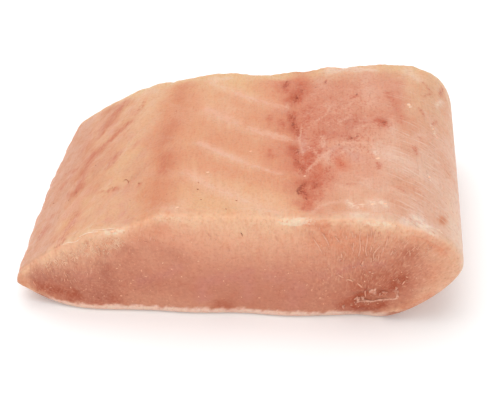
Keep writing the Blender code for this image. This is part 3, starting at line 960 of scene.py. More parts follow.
def cut_grid(first_ring, first_inner):
    """Vertex numbers of a cut face, across by up, from the ring that bounds it and the points inside it."""
    around = 2 * (ACROSS + AROUND_END)
    grid = np.empty((ACROSS + 1, AROUND_END + 1), int)
    across, up = np.arange(ACROSS + 1), np.arange(AROUND_END + 1)
    grid[:, AROUND_END] = first_ring + AROUND_END + across
    grid[:, 0] = first_ring + (2 * AROUND_END + 2 * ACROSS - across) % around
    grid[0, :] = first_ring + up
    grid[ACROSS, :] = first_ring + 2 * AROUND_END + ACROSS - up
    inside = np.arange((ACROSS - 1) * (AROUND_END - 1))
    grid[1:-1, 1:-1] = first_inner + inside.reshape(ACROSS - 1, AROUND_END - 1)
    return grid


def quads(grid):
    """The faces between neighbouring vertices of a grid."""
    corners = [grid[:-1, :-1], grid[1:, :-1], grid[1:, 1:], grid[:-1, 1:]]
    return np.stack(corners, 2).reshape(-1, 4)


def build_skin():
    """Every vertex of the fine skin, with where it lies, and the faces between them."""
    alongs = stations()
    rings = [ring_points(along) for along in alongs]
    around = len(rings[0])
    inner = [cut_points(0), cut_points(1)]
    place = np.concatenate(rings + inner)
    along = np.concatenate([np.repeat(alongs, around), np.zeros(len(inner[0])), np.ones(len(inner[1]))])
    on_rings = around * len(rings)
    on_cut = np.zeros(len(place), bool)
    on_cut[on_rings:] = True

    sides = np.arange(on_rings).reshape(len(rings), around)
    sides = np.concatenate([sides, sides[:, :1]], 1).T
    front = cut_grid(0, on_rings)
    rear = cut_grid(on_rings - around, on_rings + len(inner[0]))
    faces = np.concatenate([quads(sides), quads(front), quads(rear)[:, ::-1]])

    inset = np.where(place[:, 2] > UPPER_RIM_Z, 0.0, WIDTH)
    start = on_rings
    for rim, points in zip((rings[0], rings[-1]), inner):
        upper = rim[rim[:, 2] > UPPER_RIM_Z]
        gaps = np.hypot(points[:, None, 0] - upper[:, 0], points[:, None, 2] - upper[:, 2])
        inset[start : start + len(points)] = gaps.min(1)
        start += len(points)
    return SimpleNamespace(place=place, along=along, on_cut=on_cut, inset=inset, faces=faces)


LATTICE_SIZE = 32
LATTICE = np.random.default_rng(11).random((LATTICE_SIZE, LATTICE_SIZE, LATTICE_SIZE))


def lattice_noise(points, seed):
    """Smooth noise from 0 to 1 that changes over about one unit of length."""
    points = points + np.random.default_rng(seed).uniform(0, LATTICE_SIZE, 3)
    low = np.floor(points).astype(int)
    part = ease(0, 1, points - low)
    total = 0
    for corner in np.ndindex(2, 2, 2):
        at = (low + corner) % LATTICE_SIZE
        weight = np.where(corner, part, 1 - part).prod(-1)
        total = total + weight * LATTICE[at[:, 0], at[:, 1], at[:, 2]]
    return total


def cloud(points, size, seed, octaves=3):
    """Uneven patches of about this size, mostly between -1 and 1. The size can differ from axis to axis."""
    total, share = 0, CLOUD_SHARE
    for octave in range(octaves):
        total = total + share * (2 * lattice_noise(points / np.array(size) * 2**octave, seed + octave) - 1)
        share /= 2
    return total


def turned(points, angle):
    """The points turned about the vertical.

    Noise stretched along Y then runs at this angle, in degrees from +Y towards +X.
    """
    c, s = np.cos(np.radians(angle)), np.sin(np.radians(angle))
    x, y, z = points.T
    return np.stack([x * c - y * s, x * s + y * c, z], 1)


def near_line(x, y, points, half_width):
    """1 on a line through the points, falling off to both sides and past its ends."""
    nearest = np.full(x.shape, np.inf)
    for (x0, y0), (x1, y1) in zip(points, points[1:]):
        run_x, run_y = x1 - x0, y1 - y0
        share = np.clip(((x - x0) * run_x + (y - y0) * run_y) / (run_x**2 + run_y**2), 0, 1)
        nearest = np.minimum(nearest, np.hypot(x - x0 - share * run_x, y - y0 - share * run_y))
    return fade(nearest, half_width)


def on_lines(x, y, lines, spread=1):
    """The strongest of several long marks at each point. A spread makes them that much wider."""
    most = np.zeros(x.shape)
    for half_width, strength, *points in lines:
        most = np.maximum(most, strength * near_line(x, y, points, half_width * spread))
    return most


def lay(colour, *layers):
    """Colour with shades laid over it in turn, each with its amount: 0 for none of it and 1 for all."""
    for shade, amount in layers:
        colour = colour + (np.array(shade) - colour) * np.clip(amount, 0, 1)[:, None]
    return colour


class Place:
    """Where the vertices of the skin lie, and the noise that unsettles the marks on them."""

    def __init__(self, points, along):
        self.points, self.along = points, along
        self.x, self.y, self.z = points.T
        self.drift = cloud(points, 5, 21)
        self.fine = cloud(points, 1.5, 25)
        self.wx = self.x + 0.9 * self.drift + 0.45 * self.fine
        self.wy = self.y + 1.3 * cloud(points, 6, 28) + 0.6 * cloud(points, 1.7, 31)
        self.mottle = cloud(points, 2.6, 34)
        self.patches = cloud(points, 9, 37)
        self.fibres = cloud(turned(points, FIBRE_LEAN), (1, 14, 3), 40)

    def marks(self, lines, spread=1):
        """Where long marks on the top are strong, unsettled by the noise."""
        return on_lines(self.wx, self.wy, lines, spread)

    def plain(self, shade):
        """The same shade at every vertex."""
        return np.tile(np.array(shade, float), (len(self.x), 1))


def paint_dome(at, colour):
    """The main muscle between the furrow and the seam, with the pale sheets of gristle across it."""
    rear = ease(26, 36, at.wy) * (1 - ease(-4, 8, at.x))
    gap = sheet_gap(0.5 * (at.x + at.wx), at.along)
    on_dome = ease(-18, -9, at.x) * (1 - 0.8 * ease(-3, 10, at.x))
    pale = 0.15 * bump(gap, 0, 1) + 0.44 * bump(gap, -1.6, 3.2)
    sheets = on_lines(at.wx, at.y + 0.3 * at.fine, SHEET_LINES, 1.4)
    return lay(
        colour,
        (DOME_REAR, np.maximum(rear, ease(34, 40, at.wy))),
        (DOME_FRONT, ease(-20, -34, at.wy)),
        (DOME_REAR, 0.25 * at.patches + 0.15 * at.fibres),
        (SHEET_PALE, at.marks(DOME_PALE_LINES) * (0.9 + 0.3 * at.fibres)),
        (FLAP_YELLOW, at.marks(DOME_YELLOW_LINES)),
        (SHEET_PALE, pale * on_dome * (0.9 + 0.4 * at.fibres + 0.5 * at.patches)),
        (SHEET_PINK, 0.42 * sheets * (1 + 0.4 * at.mottle)),
    )


def paint_flap(at, colour):
    """The belly flap, left of the furrow, with its streaks."""
    flow = cloud(turned(at.points, 22), (2.2, 22, 5), 43)
    blush = cloud(turned(at.points, 25), (2.6, 4.5, 3), 55)
    thin = ease(0.45, 0.95, cloud(turned(at.points, 20), (0.9, 7, 3), 46))
    flap = 1 - ease(-30, -24, at.wx)
    return lay(
        colour,
        (FLAP, flap),
        (FLAP_PALE, flap * (0.45 * bump(at.wx, -35, 6) + 0.35 * flow)),
        (FLAP_PINK, flap * 0.45 * blush),
        (FLAP_YELLOW, -flap * 0.45 * blush),
        (FLAP_PALE, at.marks(FLAP_PALE_LINES)),
        (FLAP_EDGE, flap * ease(-50, -55, at.wx)),
        (FLAP_BAND, at.marks(FLAP_BAND_LINES) * (0.9 + 0.3 * flow)),
        (FLAP_STREAK, 0.3 * at.marks(FLAP_STREAKS, 1.2) * (1 + 0.5 * at.mottle)),
        (FLAP_STREAK, 0.75 * on_lines(at.x, at.y, FLAP_FINE_STREAKS) * (1 + 0.5 * at.fine)),
        (FLAP_STREAK, flap * thin * 0.14),
        (FURROW, on_lines(at.wx, at.y, FURROW_LINES) * (0.9 + 0.15 * at.fibres)),
        (FURROW_DEEP, at.marks(FURROW_DEEP_LINES) * (0.85 + 0.25 * at.fibres)),
    )


def paint_back(at, colour):
    """The back, right of the seam: dusky behind, and pale over the flank and in front."""
    x, y = at.wx, at.wy
    on_back = ease(-1, 4, x - seam_x(at.along))
    dusk_edge = -8 + 0.5 * (x - 20)
    dusk = on_back * ease(-3, 5, y - dusk_edge) * (1 - ease(50, 54, x))
    dusk = dusk * (1 - 0.85 * ease(12, 18, y) * bump(x, 41, 6))
    uneven_y = y + 4 * at.patches
    return lay(
        colour,
        (BACK, on_back),
        (BACK_FRONT, on_back * ease(-20, -32, y)),
        (BACK_DUSK, dusk * (0.9 + 0.3 * at.mottle)),
        (BACK_PALE, ease(38, 46, x) * (1 - ease(-8, 8, uneven_y - 0.4 * (x - 44)))),
        (BACK_PEACH, ease(49, 54, x) * ease(0, 18, uneven_y)),
        (BACK_DUSK_DARK, at.marks(DUSK_DARK_LINES) * (0.8 + 0.5 * at.mottle)),
        (BACK_PEACH, dusk * ease(28, 35, y) * 0.9),
        (BACK_ORANGE, at.marks(BACK_ORANGE_LINES)),
        (BACK_FLUSH, at.marks(FLUSH_LINES)),
        (REAR_RIM, 0.42 * ease(50, 56, x) * ease(24, 36, y)),
        (BACK_RIM, 0.72 * ease(57, 64, x) * (1 - 0.85 * ease(-32, -14, y))),
        (BACK_ORANGE, on_lines(at.x, at.y, OVAL)),
        (BLOOD, 0.35 * on_lines(at.x, at.y, BACK_RED_LINES)),
    )


def paint_seam(at, colour):
    """The red muscle along the middle seam, and the pale veils over it."""
    streaky = 0.85 + 0.5 * cloud(at.points, (0.9, 2.4, 2), 49)
    return lay(
        colour,
        (SEAM_HALO, at.marks(SEAM_HALO_LINES) * (0.9 + 0.3 * at.mottle)),
        (BLOOD, 0.6 * at.marks(BLOOD_LINES, 1.35) * streaky),
        (BLOOD_DARK, 0.3 * at.marks(BLOOD_DARK_LINES, 1.5) * streaky),
        (VEIL, at.marks(VEIL_LINES) * (0.8 + 0.6 * at.fine)),
        (WISP, 0.25 * on_lines(at.x + 0.3 * at.fine, at.y, WISP_LINES)),
    )


def paint_rims(at, colour):
    """The pale membrane with a painted sheen on it, the front crest with a painted highlight on it, and the
    rear rim.
    """
    on_seam = np.maximum(on_lines(at.x, at.y, BLOOD_LINES), 0.6 * bump(at.x, 18.6, 3.4))
    behind = at.y + LENGTH / 2
    reach = 1.6 + 0.5 * at.patches + 1.2 * bump(at.x, 35, 9)
    highlight_band = bump(behind, 1.2, reach) * (1 - 0.6 * bump(at.x, -26, 4))
    highlight_line = bump(behind, 1 + 0.4 * at.fine, 0.9)
    return lay(
        colour,
        (REAR_RIM, ease(34, 40, at.wy) * 0.85 * (1 - on_seam)),
        # Pale membrane with a painted sheen
        (MEMBRANE_SHEEN, 0.6 * at.marks(MEMBRANE_SHEEN_LINES)),
        # A pale band and a white line along the front crest: pale flesh and membrane with a painted highlight
        (CREST_HIGHLIGHT, highlight_band * (0.65 + 0.3 * at.fine)),
        (CREST_WHITE_HIGHLIGHT, highlight_line * crest_white_highlight(at.x) * (0.45 + 0.4 * at.fine)),
    )


def paint_top(at):
    """Colour of the upper surface."""
    colour = at.plain(DOME_MIDDLE)
    for layer in (paint_dome, paint_flap, paint_back, paint_seam, paint_rims):
        colour = layer(at, colour)
    return colour


def crest_white_highlight(x):
    """Where along the front crest its edge is white: membrane with a painted highlight."""
    return bumps(x, CREST_WHITE_HIGHLIGHT_PLACES)


def crest_depth(x):
    """How far the pale flesh and the painted highlight under the front crest reach down, in millimetres."""
    left = 3.6 * ease(-28, -37, x) * mix(0.15, 1, ease(-59, -45, x))
    return 1 + left + 4.4 * bump(x, 7, 18) + 2.2 * bump(x, 38, 9)


def paint_cut(at, inset, rear):
    """Colour of a cut face. inset is how far a point lies inside the face's upper outline."""
    x, z = at.wx, at.z + at.drift + 0.4 * at.fine
    hairs = cloud(at.points, (0.8, 3, 4.5), 52)
    depth = crest_depth(at.x)
    under = under_height(at.x, rear)
    foot_height = mix(0.6, 1.25, ease(-54, -44, at.x)) + bumps(at.x, FOOT_PLACES)
    foot = ease(0.55, -0.45, at.z - under - foot_height + 0.6 * at.fine)
    colour = lay(
        at.plain(CUT_LOW),
        # Lighter high up and darker towards the foot: painted shade down the cut
        (CUT_LIT_HIGH, ease(10, 33, z)),
        (CUT_LOW, 0.35 * ease(28, 40, x) * ease(33, 26, z)),
        (CUT_FOOT, on_lines(x, z, CUT_FOOT_LINES)),
        (CUT_PURPLE, on_lines(x, z, CUT_PURPLE_LINES) * (0.8 + 0.3 * at.mottle)),
        (CUT_BROWN, on_lines(x, z, CUT_BROWN_LINES) * (0.9 + 0.2 * at.mottle)),
        (CUT_RUST, on_lines(x, z, CUT_RUST_LINES) * (0.9 + 0.25 * at.mottle)),
        # Pale under the crest: partly pale flesh with its fibres, partly a painted highlight
        (CUT_PALE_AND_HIGHLIGHT, fade(inset, depth, 1.5) * (0.9 + 0.3 * hairs)),
        (CUT_PALE_AND_HIGHLIGHT, 0.3 * fade(inset, 2.2 * depth) * (1 + 0.8 * hairs)),
        # The white edge of the crest on the cut: membrane with a painted highlight
        (CREST_WHITE_HIGHLIGHT, bump(inset, 0.2, 0.6) * crest_white_highlight(at.x) * (0.4 + 0.4 * at.fine)),
        (CUT_RIM, ease(49, 57, x) * fade(inset, 6, 3) * 0.95),
        (FOOT_PALE, foot * ease(3.6, 2.2, under) * ease(50, 43, at.x)),
        (TIP_ORANGE, ease(-60.2, -62.6, x - 0.3 * (at.z - 8)) * ease(12, 8, at.z)),
    )
    if rear:
        return colour
    return lay(
        colour,
        (CUT_ORANGE, on_lines(x, z, CUT_ORANGE_LINES)),
        (CUT_RED, on_lines(x, z, CUT_RED_LINES) * (0.9 + 0.2 * at.mottle)),
    )


def paint_under(at):
    """Colour of the underside."""
    sheets = near_sheet(at.x, at.along, 1.4) * ease(54, 46, at.x)
    return lay(
        at.plain(UNDER_FLESH),
        (FLAP_BAND, 0.3 + 0.6 * at.patches),
        (SEAM_HALO, 0.25 + 0.5 * at.mottle),
        (SHEET_PALE, sheets * (0.45 + 0.4 * at.mottle)),
        (SEAM_HALO, bump(at.x, seam_x(at.along), 3) * (0.8 + 0.5 * at.mottle)),
    )


def linear(srgb):
    """Linear light from sRGB values between 0 and 255."""
    share = np.clip(np.asarray(srgb) / 255, 0, 1)
    return np.where(share <= 0.04045, share / 12.92, ((share + 0.055) / 1.055) ** 2.4)


def own_colour(seen, light, gloss):
    """The linear colour that a surface needs to look like this sRGB colour in this light."""
    return np.clip((linear(seen) - gloss) / light, *OWN_RANGE)


def paint(skin, normals):
    """The flesh's own colour at every vertex, in linear light."""
    at = Place(skin.place, skin.along)
    across, endways, upwards = normals.T
    steep, endways = np.abs(across), np.abs(endways)
    upper_rim = ease(0.55, 0.95, endways) * 0.7
    lower_rim = mix(ease(0.03, 0.3, endways), upper_rim, ease(44, 56, at.x))
    facing_cut = np.where(skin.on_cut, 1, np.where(upwards > 0, upper_rim, lower_rim))
    facing_down = ease(-0.35, -0.9, upwards) * (1 - facing_cut)
    colour = lay(paint_top(at), (paint_under(at), facing_down))
    front, rear = (paint_cut(at, skin.inset, end) for end in (0, 1))
    colour = mix(colour, np.where(skin.place[:, 1:2] > 0, rear, front), facing_cut[:, None])
    upright = ease(0.3, 0.9, endways)
    light = mix(mix(TOP_LIGHT, STEEP_LIGHT, ease(0.35, 0.9, steep)), CUT_LIGHT, upright)
    light = mix(light, UNDER_LIGHT, ease(-0.1, -0.6, upwards))
    light = light[:, None] * mix(TOP_TINT, np.ones(3), upright[:, None])
    gloss = mix(mix(TOP_GLOSS, BELLY_GLOSS, ease(0.2, 0.68, -across)), CUT_GLOSS, upright)
    return own_colour(colour, light, gloss[:, None])


def fine_relief(skin, normals):
    """How far each vertex moves outwards for relief finer than the solid's, in millimetres."""
    x, y, z = skin.place.T
    upwards = normals[:, 2]
    cut = skin.on_cut * ease(0, 1.5, skin.inset)
    grain = cloud(skin.place, 1.6, 101, 2)
    lumps = cloud(skin.place, 3.2, 104, 2)
    fibres = cloud(turned(skin.place, FIBRE_LEAN), (1.6, 14, 3), 107, 2)
    pits = on_lines(x, y, BLOOD_LINES) * (0.6 + 0.8 * cloud(skin.place, 2.2, 110))
    wisps = 0.1 * on_lines(x, y, WISP_LINES) + 0.06 * on_lines(x, y, MEMBRANE_SHEEN_LINES)
    top = ease(0.1, 0.6, upwards) * (0.06 * fibres + 0.04 * lumps - 0.16 * pits + wisps)
    rim = np.maximum(ease(-56, -62, x), bump(np.abs(y), LENGTH / 2, 3))
    rag = rim * (1 - cut) * ease(-0.5, 0.3, upwards)
    torn = cut * on_lines(x, z, CUT_RUST_LINES)
    rough = rag * (0.18 * lumps + 0.12 * grain) + torn * (0.08 * grain + 0.1 * lumps)
    edge = ease(-58, -63, x) * cloud(skin.place, (40, 2.8, 40), 113, 2)
    return top + rough + 0.22 * edge + cut * (0.05 * grain + 0.06 * lumps)


class Nodes:
    """Adds nodes to a new material."""

    def __init__(self, name):
        self.material = bpy.data.materials.new(name)
        self.material.use_nodes = True
        self.tree = self.material.node_tree
        self.shader = self.tree.nodes["Principled BSDF"]

    def add(self, kind, inputs, output=0, **settings):
        """A node of this kind. inputs gives sockets or values by the input's name or number."""
        node = self.tree.nodes.new(kind)
        for name, value in settings.items():
            setattr(node, name, value)
        for key, value in inputs.items():
            self.put(node.inputs[key], value)
        return node.outputs[output]

    def put(self, socket, value):
        """Links a node's output to a socket, or sets the socket's own value."""
        if isinstance(value, bpy.types.NodeSocket):
            self.tree.links.new(value, socket)
        else:
            socket.default_value = value

    def shade(self, **inputs):
        """Sets inputs of the shader, with the spaces in their names as underscores."""
        for name, value in inputs.items():
            self.put(self.shader.inputs[name.replace("_", " ")], value)

    def attribute(self, name, output="Fac"):
        """What is stored under this name for each vertex."""
        return self.add("ShaderNodeAttribute", {}, output, attribute_name=name)

    def place(self):
        """The object's own coordinates."""
        return self.add("ShaderNodeTexCoord", {}, "Object")

    def turned(self, vector, angle):
        """A vector turned about the vertical, by an angle in radians."""
        return self.add("ShaderNodeVectorRotate", {"Vector": vector, "Angle": angle})

    def noise(self, sizes, detail=3, vector=None, unit=METRES):
        """Noise from 0 to 1 in patches of one or three sizes, over a vector or the object's coordinates."""
        scale = [1 / (size * unit) for size in np.broadcast_to(sizes, 3)]
        inputs = {0: vector or self.place(), 1: scale}
        cells = self.add("ShaderNodeVectorMath", inputs, operation="MULTIPLY")
        return self.add("ShaderNodeTexNoise", {"Vector": cells, "Scale": 1, "Detail": detail})

    def calculate(self, operation, first, second):
        """A sum, difference or other operation on two numbers."""
        return self.add("ShaderNodeMath", {0: first, 1: second}, operation=operation)

    def times(self, first, second):
        """The product of two numbers."""
        return self.calculate("MULTIPLY", first, second)

    def between(self, value, low, high, first=0, last=1):
        """Maps low to high onto first to last, smoothly, and holds it outside."""
        inputs = {"Value": value, "From Min": low, "From Max": high, "To Min": first, "To Max": last}
        return self.add("ShaderNodeMapRange", inputs, interpolation_type="SMOOTHSTEP")

    def ridges(self, sizes, width, vector):
        """1 on thin winding lines, where the noise passes its middle."""
        off = self.calculate("SUBTRACT", self.noise(sizes, 3, vector), 0.5)
        return self.between(self.calculate("ABSOLUTE", off, 0), 0, width, 1, 0)

    def ragged(self, mask, noise, reach, edge=0.24):
        """A soft mask given a crisp, uneven outline by noise."""
        off = self.times(self.calculate("SUBTRACT", noise, 0.5), reach)
        crisp = self.between(self.calculate("ADD", mask, off), 0.5 - edge, 0.5 + edge)
        return self.times(crisp, self.between(mask, 0.1, 0.5))

    def peppered(self, mask, noise):
        """Specks of the noise, and more of them where a soft mask is strong."""
        specks = self.between(self.calculate("ADD", noise, self.times(mask, 0.16)), 0.58, 0.68)
        return self.times(specks, self.between(mask, 0.05, 0.5))

    def blend(self, factor, first, second, how="MIX"):
        """Two colours mixed."""
        inputs = dict(zip(MIX_INPUTS, (factor, first, second)))
        return self.add("ShaderNodeMix", inputs, MIX_OUTPUT, data_type="RGBA", blend_type=how)

    def marked(self, colour, shade, mask, share):
        """A colour with a shade laid over it, by this share of a mask."""
        return self.blend(self.times(mask, share), colour, shade)

    def darkened(self, colour, shade, mask, share=1):
        """A colour multiplied by a shade, by this share of a mask."""
        return self.blend(self.times(mask, share), colour, (*shade, 1), "MULTIPLY")

    def bumped(self, height, depth):
        """A normal for a height from 0 to 1 that stands for this depth in millimetres."""
        return self.add("ShaderNodeBump", {"Height": height, "Distance": depth * METRES})


def seen_on_top(colour):
    """A node colour that looks like this sRGB colour on the top."""
    return (*own_colour(colour, TOP_LIGHT, TOP_GLOSS), 1)


def seen_on_cut(colour):
    """A node colour that looks like this sRGB colour on a cut."""
    return (*own_colour(colour, CUT_LIGHT, CUT_GLOSS), 1)


def top_marks(n, colour):
    """The streaks, blood, wisps and membrane of the top, with outlines finer than the skin. The membrane's
    white carries a painted sheen, and the crest's a painted highlight.
    """
    place = n.place()
    leaning = n.turned(place, STREAK_TURN)
    streaks = n.peppered(n.attribute("streaked"), n.noise((0.7, 1.9, 0.8), 5, leaning))
    clots = n.noise((0.8, 1.1, 0.8), 5)
    dots = n.noise((0.5, 0.7, 0.5), 4)
    sheets = n.ragged(n.attribute("sheet"), n.noise((2.4, 0.8, 0.8), 5, n.turned(place, SHEET_TURN)), 3.4)
    cracks = n.ragged(n.attribute("cracked"), n.noise((0.45, 0.6, 0.45), 4), 2.4)
    strands = n.ridges((1.1, 4.5, 2), 0.045, n.turned(place, NET_TURN))
    strands = n.calculate("MAXIMUM", strands, n.ridges((3.6, 1.5, 2), 0.035, leaning))
    net = n.times(strands, n.between(n.noise(4, 2), 0.45, 0.6))
    netted = n.attribute("netted")
    wisps = n.ragged(n.attribute("wispy"), n.noise((0.6, 0.9, 0.6), 4), 3.2)
    for shade, mask, share in (
        (FLAP_STREAK, streaks, 0.52),
        (BLOOD, n.peppered(n.attribute("bloody"), clots), 0.44),
        (BLOOD_DARK, n.peppered(n.attribute("deep"), dots), 0.65),
        (SHEET_PINK, sheets, 0.36),
        (CRACK, cracks, 0.62),
        (WISP, n.times(net, netted), 0.4),
        (BLOOD, n.times(n.between(clots, 0.51, 0.66), netted), 0.42),
        (BLOOD_DARK, n.times(n.between(dots, 0.7, 0.76), netted), 0.55),
        (WISP, wisps, 0.42),
    ):
        colour = n.marked(colour, seen_on_top(shade), mask, share)

    lined = n.attribute("lined")
    flank_grain = n.turned(place, FLANK_TURN)
    dark_lines = n.between(n.noise((9, 0.42, 1.2), 2, flank_grain), 0.61, 0.7)
    colour = n.darkened(colour, (0.87, 0.73, 0.69), dark_lines, lined)
    # Pale lines on the flank: membrane with a painted sheen
    pale_lines = n.between(n.noise((12, 0.6, 2), 2, flank_grain), 0.56, 0.7)
    colour = n.marked(colour, seen_on_top(MEMBRANE_SHEEN), n.times(pale_lines, lined), 0.58)
    # White flecks of membrane with a painted sheen, and the crest's white edge with its painted highlight
    white = n.ragged(n.attribute("white"), n.noise((1, 0.7, 0.7), 5), 3.6, 0.28)
    shade = n.blend(n.attribute("cut"), seen_on_top(CREST_WHITE_HIGHLIGHT), seen_on_cut(CREST_WHITE_HIGHLIGHT))
    return n.marked(colour, shade, white, 0.5)


def cut_marks(n, colour, cut, hairs):
    """The hairs, crumbs and mottling of the cuts. The pale crumbs are partly bits of fat and partly painted
    glints of wet.
    """
    open_cut = n.times(cut, n.between(n.attribute("calm"), 0, 1, 1, 0.3))
    mottle = n.times(n.between(n.noise(2.4, 5), 0.47, 0.68), open_cut)
    colour = n.darkened(colour, (0.88, 0.79, 0.76), mottle, 0.38)
    grain = n.noise(0.9, 4)
    dark_grain = n.times(n.between(grain, 0.46, 0.66), open_cut)
    colour = n.darkened(colour, (0.86, 0.77, 0.74), dark_grain, 0.22)
    pale_grain = n.times(n.between(grain, 0.48, 0.36), open_cut)
    colour = n.marked(colour, seen_on_cut(CUT_PALE_AND_HIGHLIGHT), pale_grain, 0.14)

    hairy = n.attribute("hairy")
    pale_hairs = n.times(n.between(hairs, 0.53, 0.68), hairy)
    colour = n.marked(colour, seen_on_cut(CUT_HAIR), pale_hairs, 0.38)
    dark_hairs = n.times(n.between(hairs, 0.47, 0.34), hairy)
    colour = n.darkened(colour, (0.92, 0.78, 0.72), dark_hairs, 0.45)

    # Pale crumbs on the open cut: partly bits of fat, partly painted glints of wet
    clumps = n.between(n.noise(5, 2), 0.42, 0.62, 0.15, 1)
    crumbs = n.times(n.between(n.noise(0.75, 2), 0.67, 0.73), clumps)
    colour = n.marked(colour, seen_on_cut(CUT_HAIR), n.times(crumbs, open_cut), 0.8)
    pits = n.times(n.between(n.noise((0.9, 0.7, 0.7), 2), 0.34, 0.29), open_cut)
    return n.darkened(colour, (0.78, 0.64, 0.58), pits, 0.65)


def flesh_material():
    """Raw flesh: the painted colour, with the grain, fibres and marks that are finer than the skin."""
    n = Nodes("raw_fish_flesh")
    cut = n.attribute("cut")
    top = n.calculate("SUBTRACT", 1, cut)
    grain = n.noise(0.8, 4)
    mottle = n.noise(3.2, 4)
    fibres = n.noise((0.7, 8, 2), 3)
    hairs = n.noise((0.5, 1.9, 1), 5, n.attribute("cut_grain", "Vector"), 1)

    colour = n.attribute("flesh", "Color")
    colour = n.darkened(colour, (1, 0.91, 0.88), n.between(mottle, 0.48, 0.75, 0, 0.7))
    colour = n.darkened(colour, (0.9, 0.84, 0.82), n.between(grain, 0.47, 0.7, 0, 0.7))
    colour = n.darkened(colour, (0.95, 0.86, 0.82), n.times(n.between(fibres, 0.5, 0.72), top), 0.4)
    colour = top_marks(n, colour)
    colour = cut_marks(n, colour, cut, hairs)

    height = n.calculate("ADD", n.times(grain, 0.5), n.times(fibres, n.times(top, 0.5)))
    height = n.calculate("ADD", height, n.times(hairs, n.times(n.attribute("hairy"), 0.6)))
    n.shade(
        Base_Color=colour,
        Roughness=n.between(mottle, 0.3, 0.7, 0.36, 0.54),
        Normal=n.bumped(height, 0.4),
        Subsurface_Weight=0.25,
        Subsurface_Radius=(1, 0.42, 0.25),
        Subsurface_Scale=0.9 * METRES,
        Specular_IOR_Level=0.22,
        Coat_Weight=0.04,
        Coat_Roughness=0.3,
    )
    return n.material


def shred_material(name, seen, deep, size=1.2):
    """Thin shreds: one colour that deepens in patches of this size and, as painted shade, on the sides that
    face down, with a little bump.
    """
    n = Nodes(name)
    patches = n.noise(size, 3)
    facing = n.add("ShaderNodeNewGeometry", {}, "Normal")
    upwards = n.add("ShaderNodeSeparateXYZ", {0: facing}, "Z")
    # Painted shade: the colour deepens on the sides that face down
    depth = n.calculate("ADD", n.between(patches, 0.4, 0.65, 0, 0.7), n.between(upwards, 0.5, -0.7, 0, 0.8))
    n.shade(
        Base_Color=n.blend(depth, seen_on_cut(seen), seen_on_cut(deep)),
        Roughness=n.between(patches, 0.3, 0.7, 0.3, 0.5),
        Normal=n.bumped(n.noise(0.4, 3), 0.15),
        Specular_IOR_Level=0.22,
    )
    return n.material


def floor_material():
    """A pale matt surface with a faint unevenness."""
    n = Nodes("pale_floor")
    tone = n.between(n.noise(60, 2), 0.3, 0.7, 0.92, 0.95)
    n.shade(
        Base_Color=n.add("ShaderNodeCombineColor", {0: tone, 1: tone, 2: tone}),
        Roughness=0.9,
        Specular_IOR_Level=0.1,
        Emission_Color=(1, 1, 1, 1),
        Emission_Strength=FLOOR_GLOW,
    )
    return n.material


def new_object(name, points, faces, material):
    """A smooth mesh from points in millimetres in the sections' own frame."""
    mesh = bpy.data.meshes.new(name)
    mesh.from_pydata((np.asarray(points) - own_origin) * METRES, [], faces)
    mesh.materials.append(material)
    mesh.shade_smooth()
    mesh.update()
    made = bpy.data.objects.new(name, mesh)
    bpy.context.scene.collection.objects.link(made)
    return made


def vertex_normals(points, faces):
    """The mean direction of the faces round each vertex."""
    across = points[faces[:, 2]] - points[faces[:, 0]]
    along = points[faces[:, 3]] - points[faces[:, 1]]
    facing = np.cross(across, along)
    normals = np.zeros(points.shape)
    for corner in range(4):
        np.add.at(normals, faces[:, corner], facing)
    return normals / np.linalg.norm(normals, axis=1)[:, None]


def add_values(mesh, name, values, kind="FLOAT", field="value"):
    """A number or a vector for each vertex, for the nodes to read."""
    made = mesh.attributes.new(name, kind, "POINT")
    made.data.foreach_set(field, values.astype(np.float32).ravel())


def fibre_coordinates(x, z):
    """Distance across and along the fibres of the cut, which fan out towards the nose."""
    right, up = x - FAN_X, z - FAN_Z
    leaning = right - FLAP_LEAN * (z - FLAP_LEAN_Z) * ease(-20, -40, x)
    across = np.where(right > 0, FAN_REACH * np.arctan2(right, up), leaning)
    return across, np.where(right > 0, np.hypot(right, up), up)


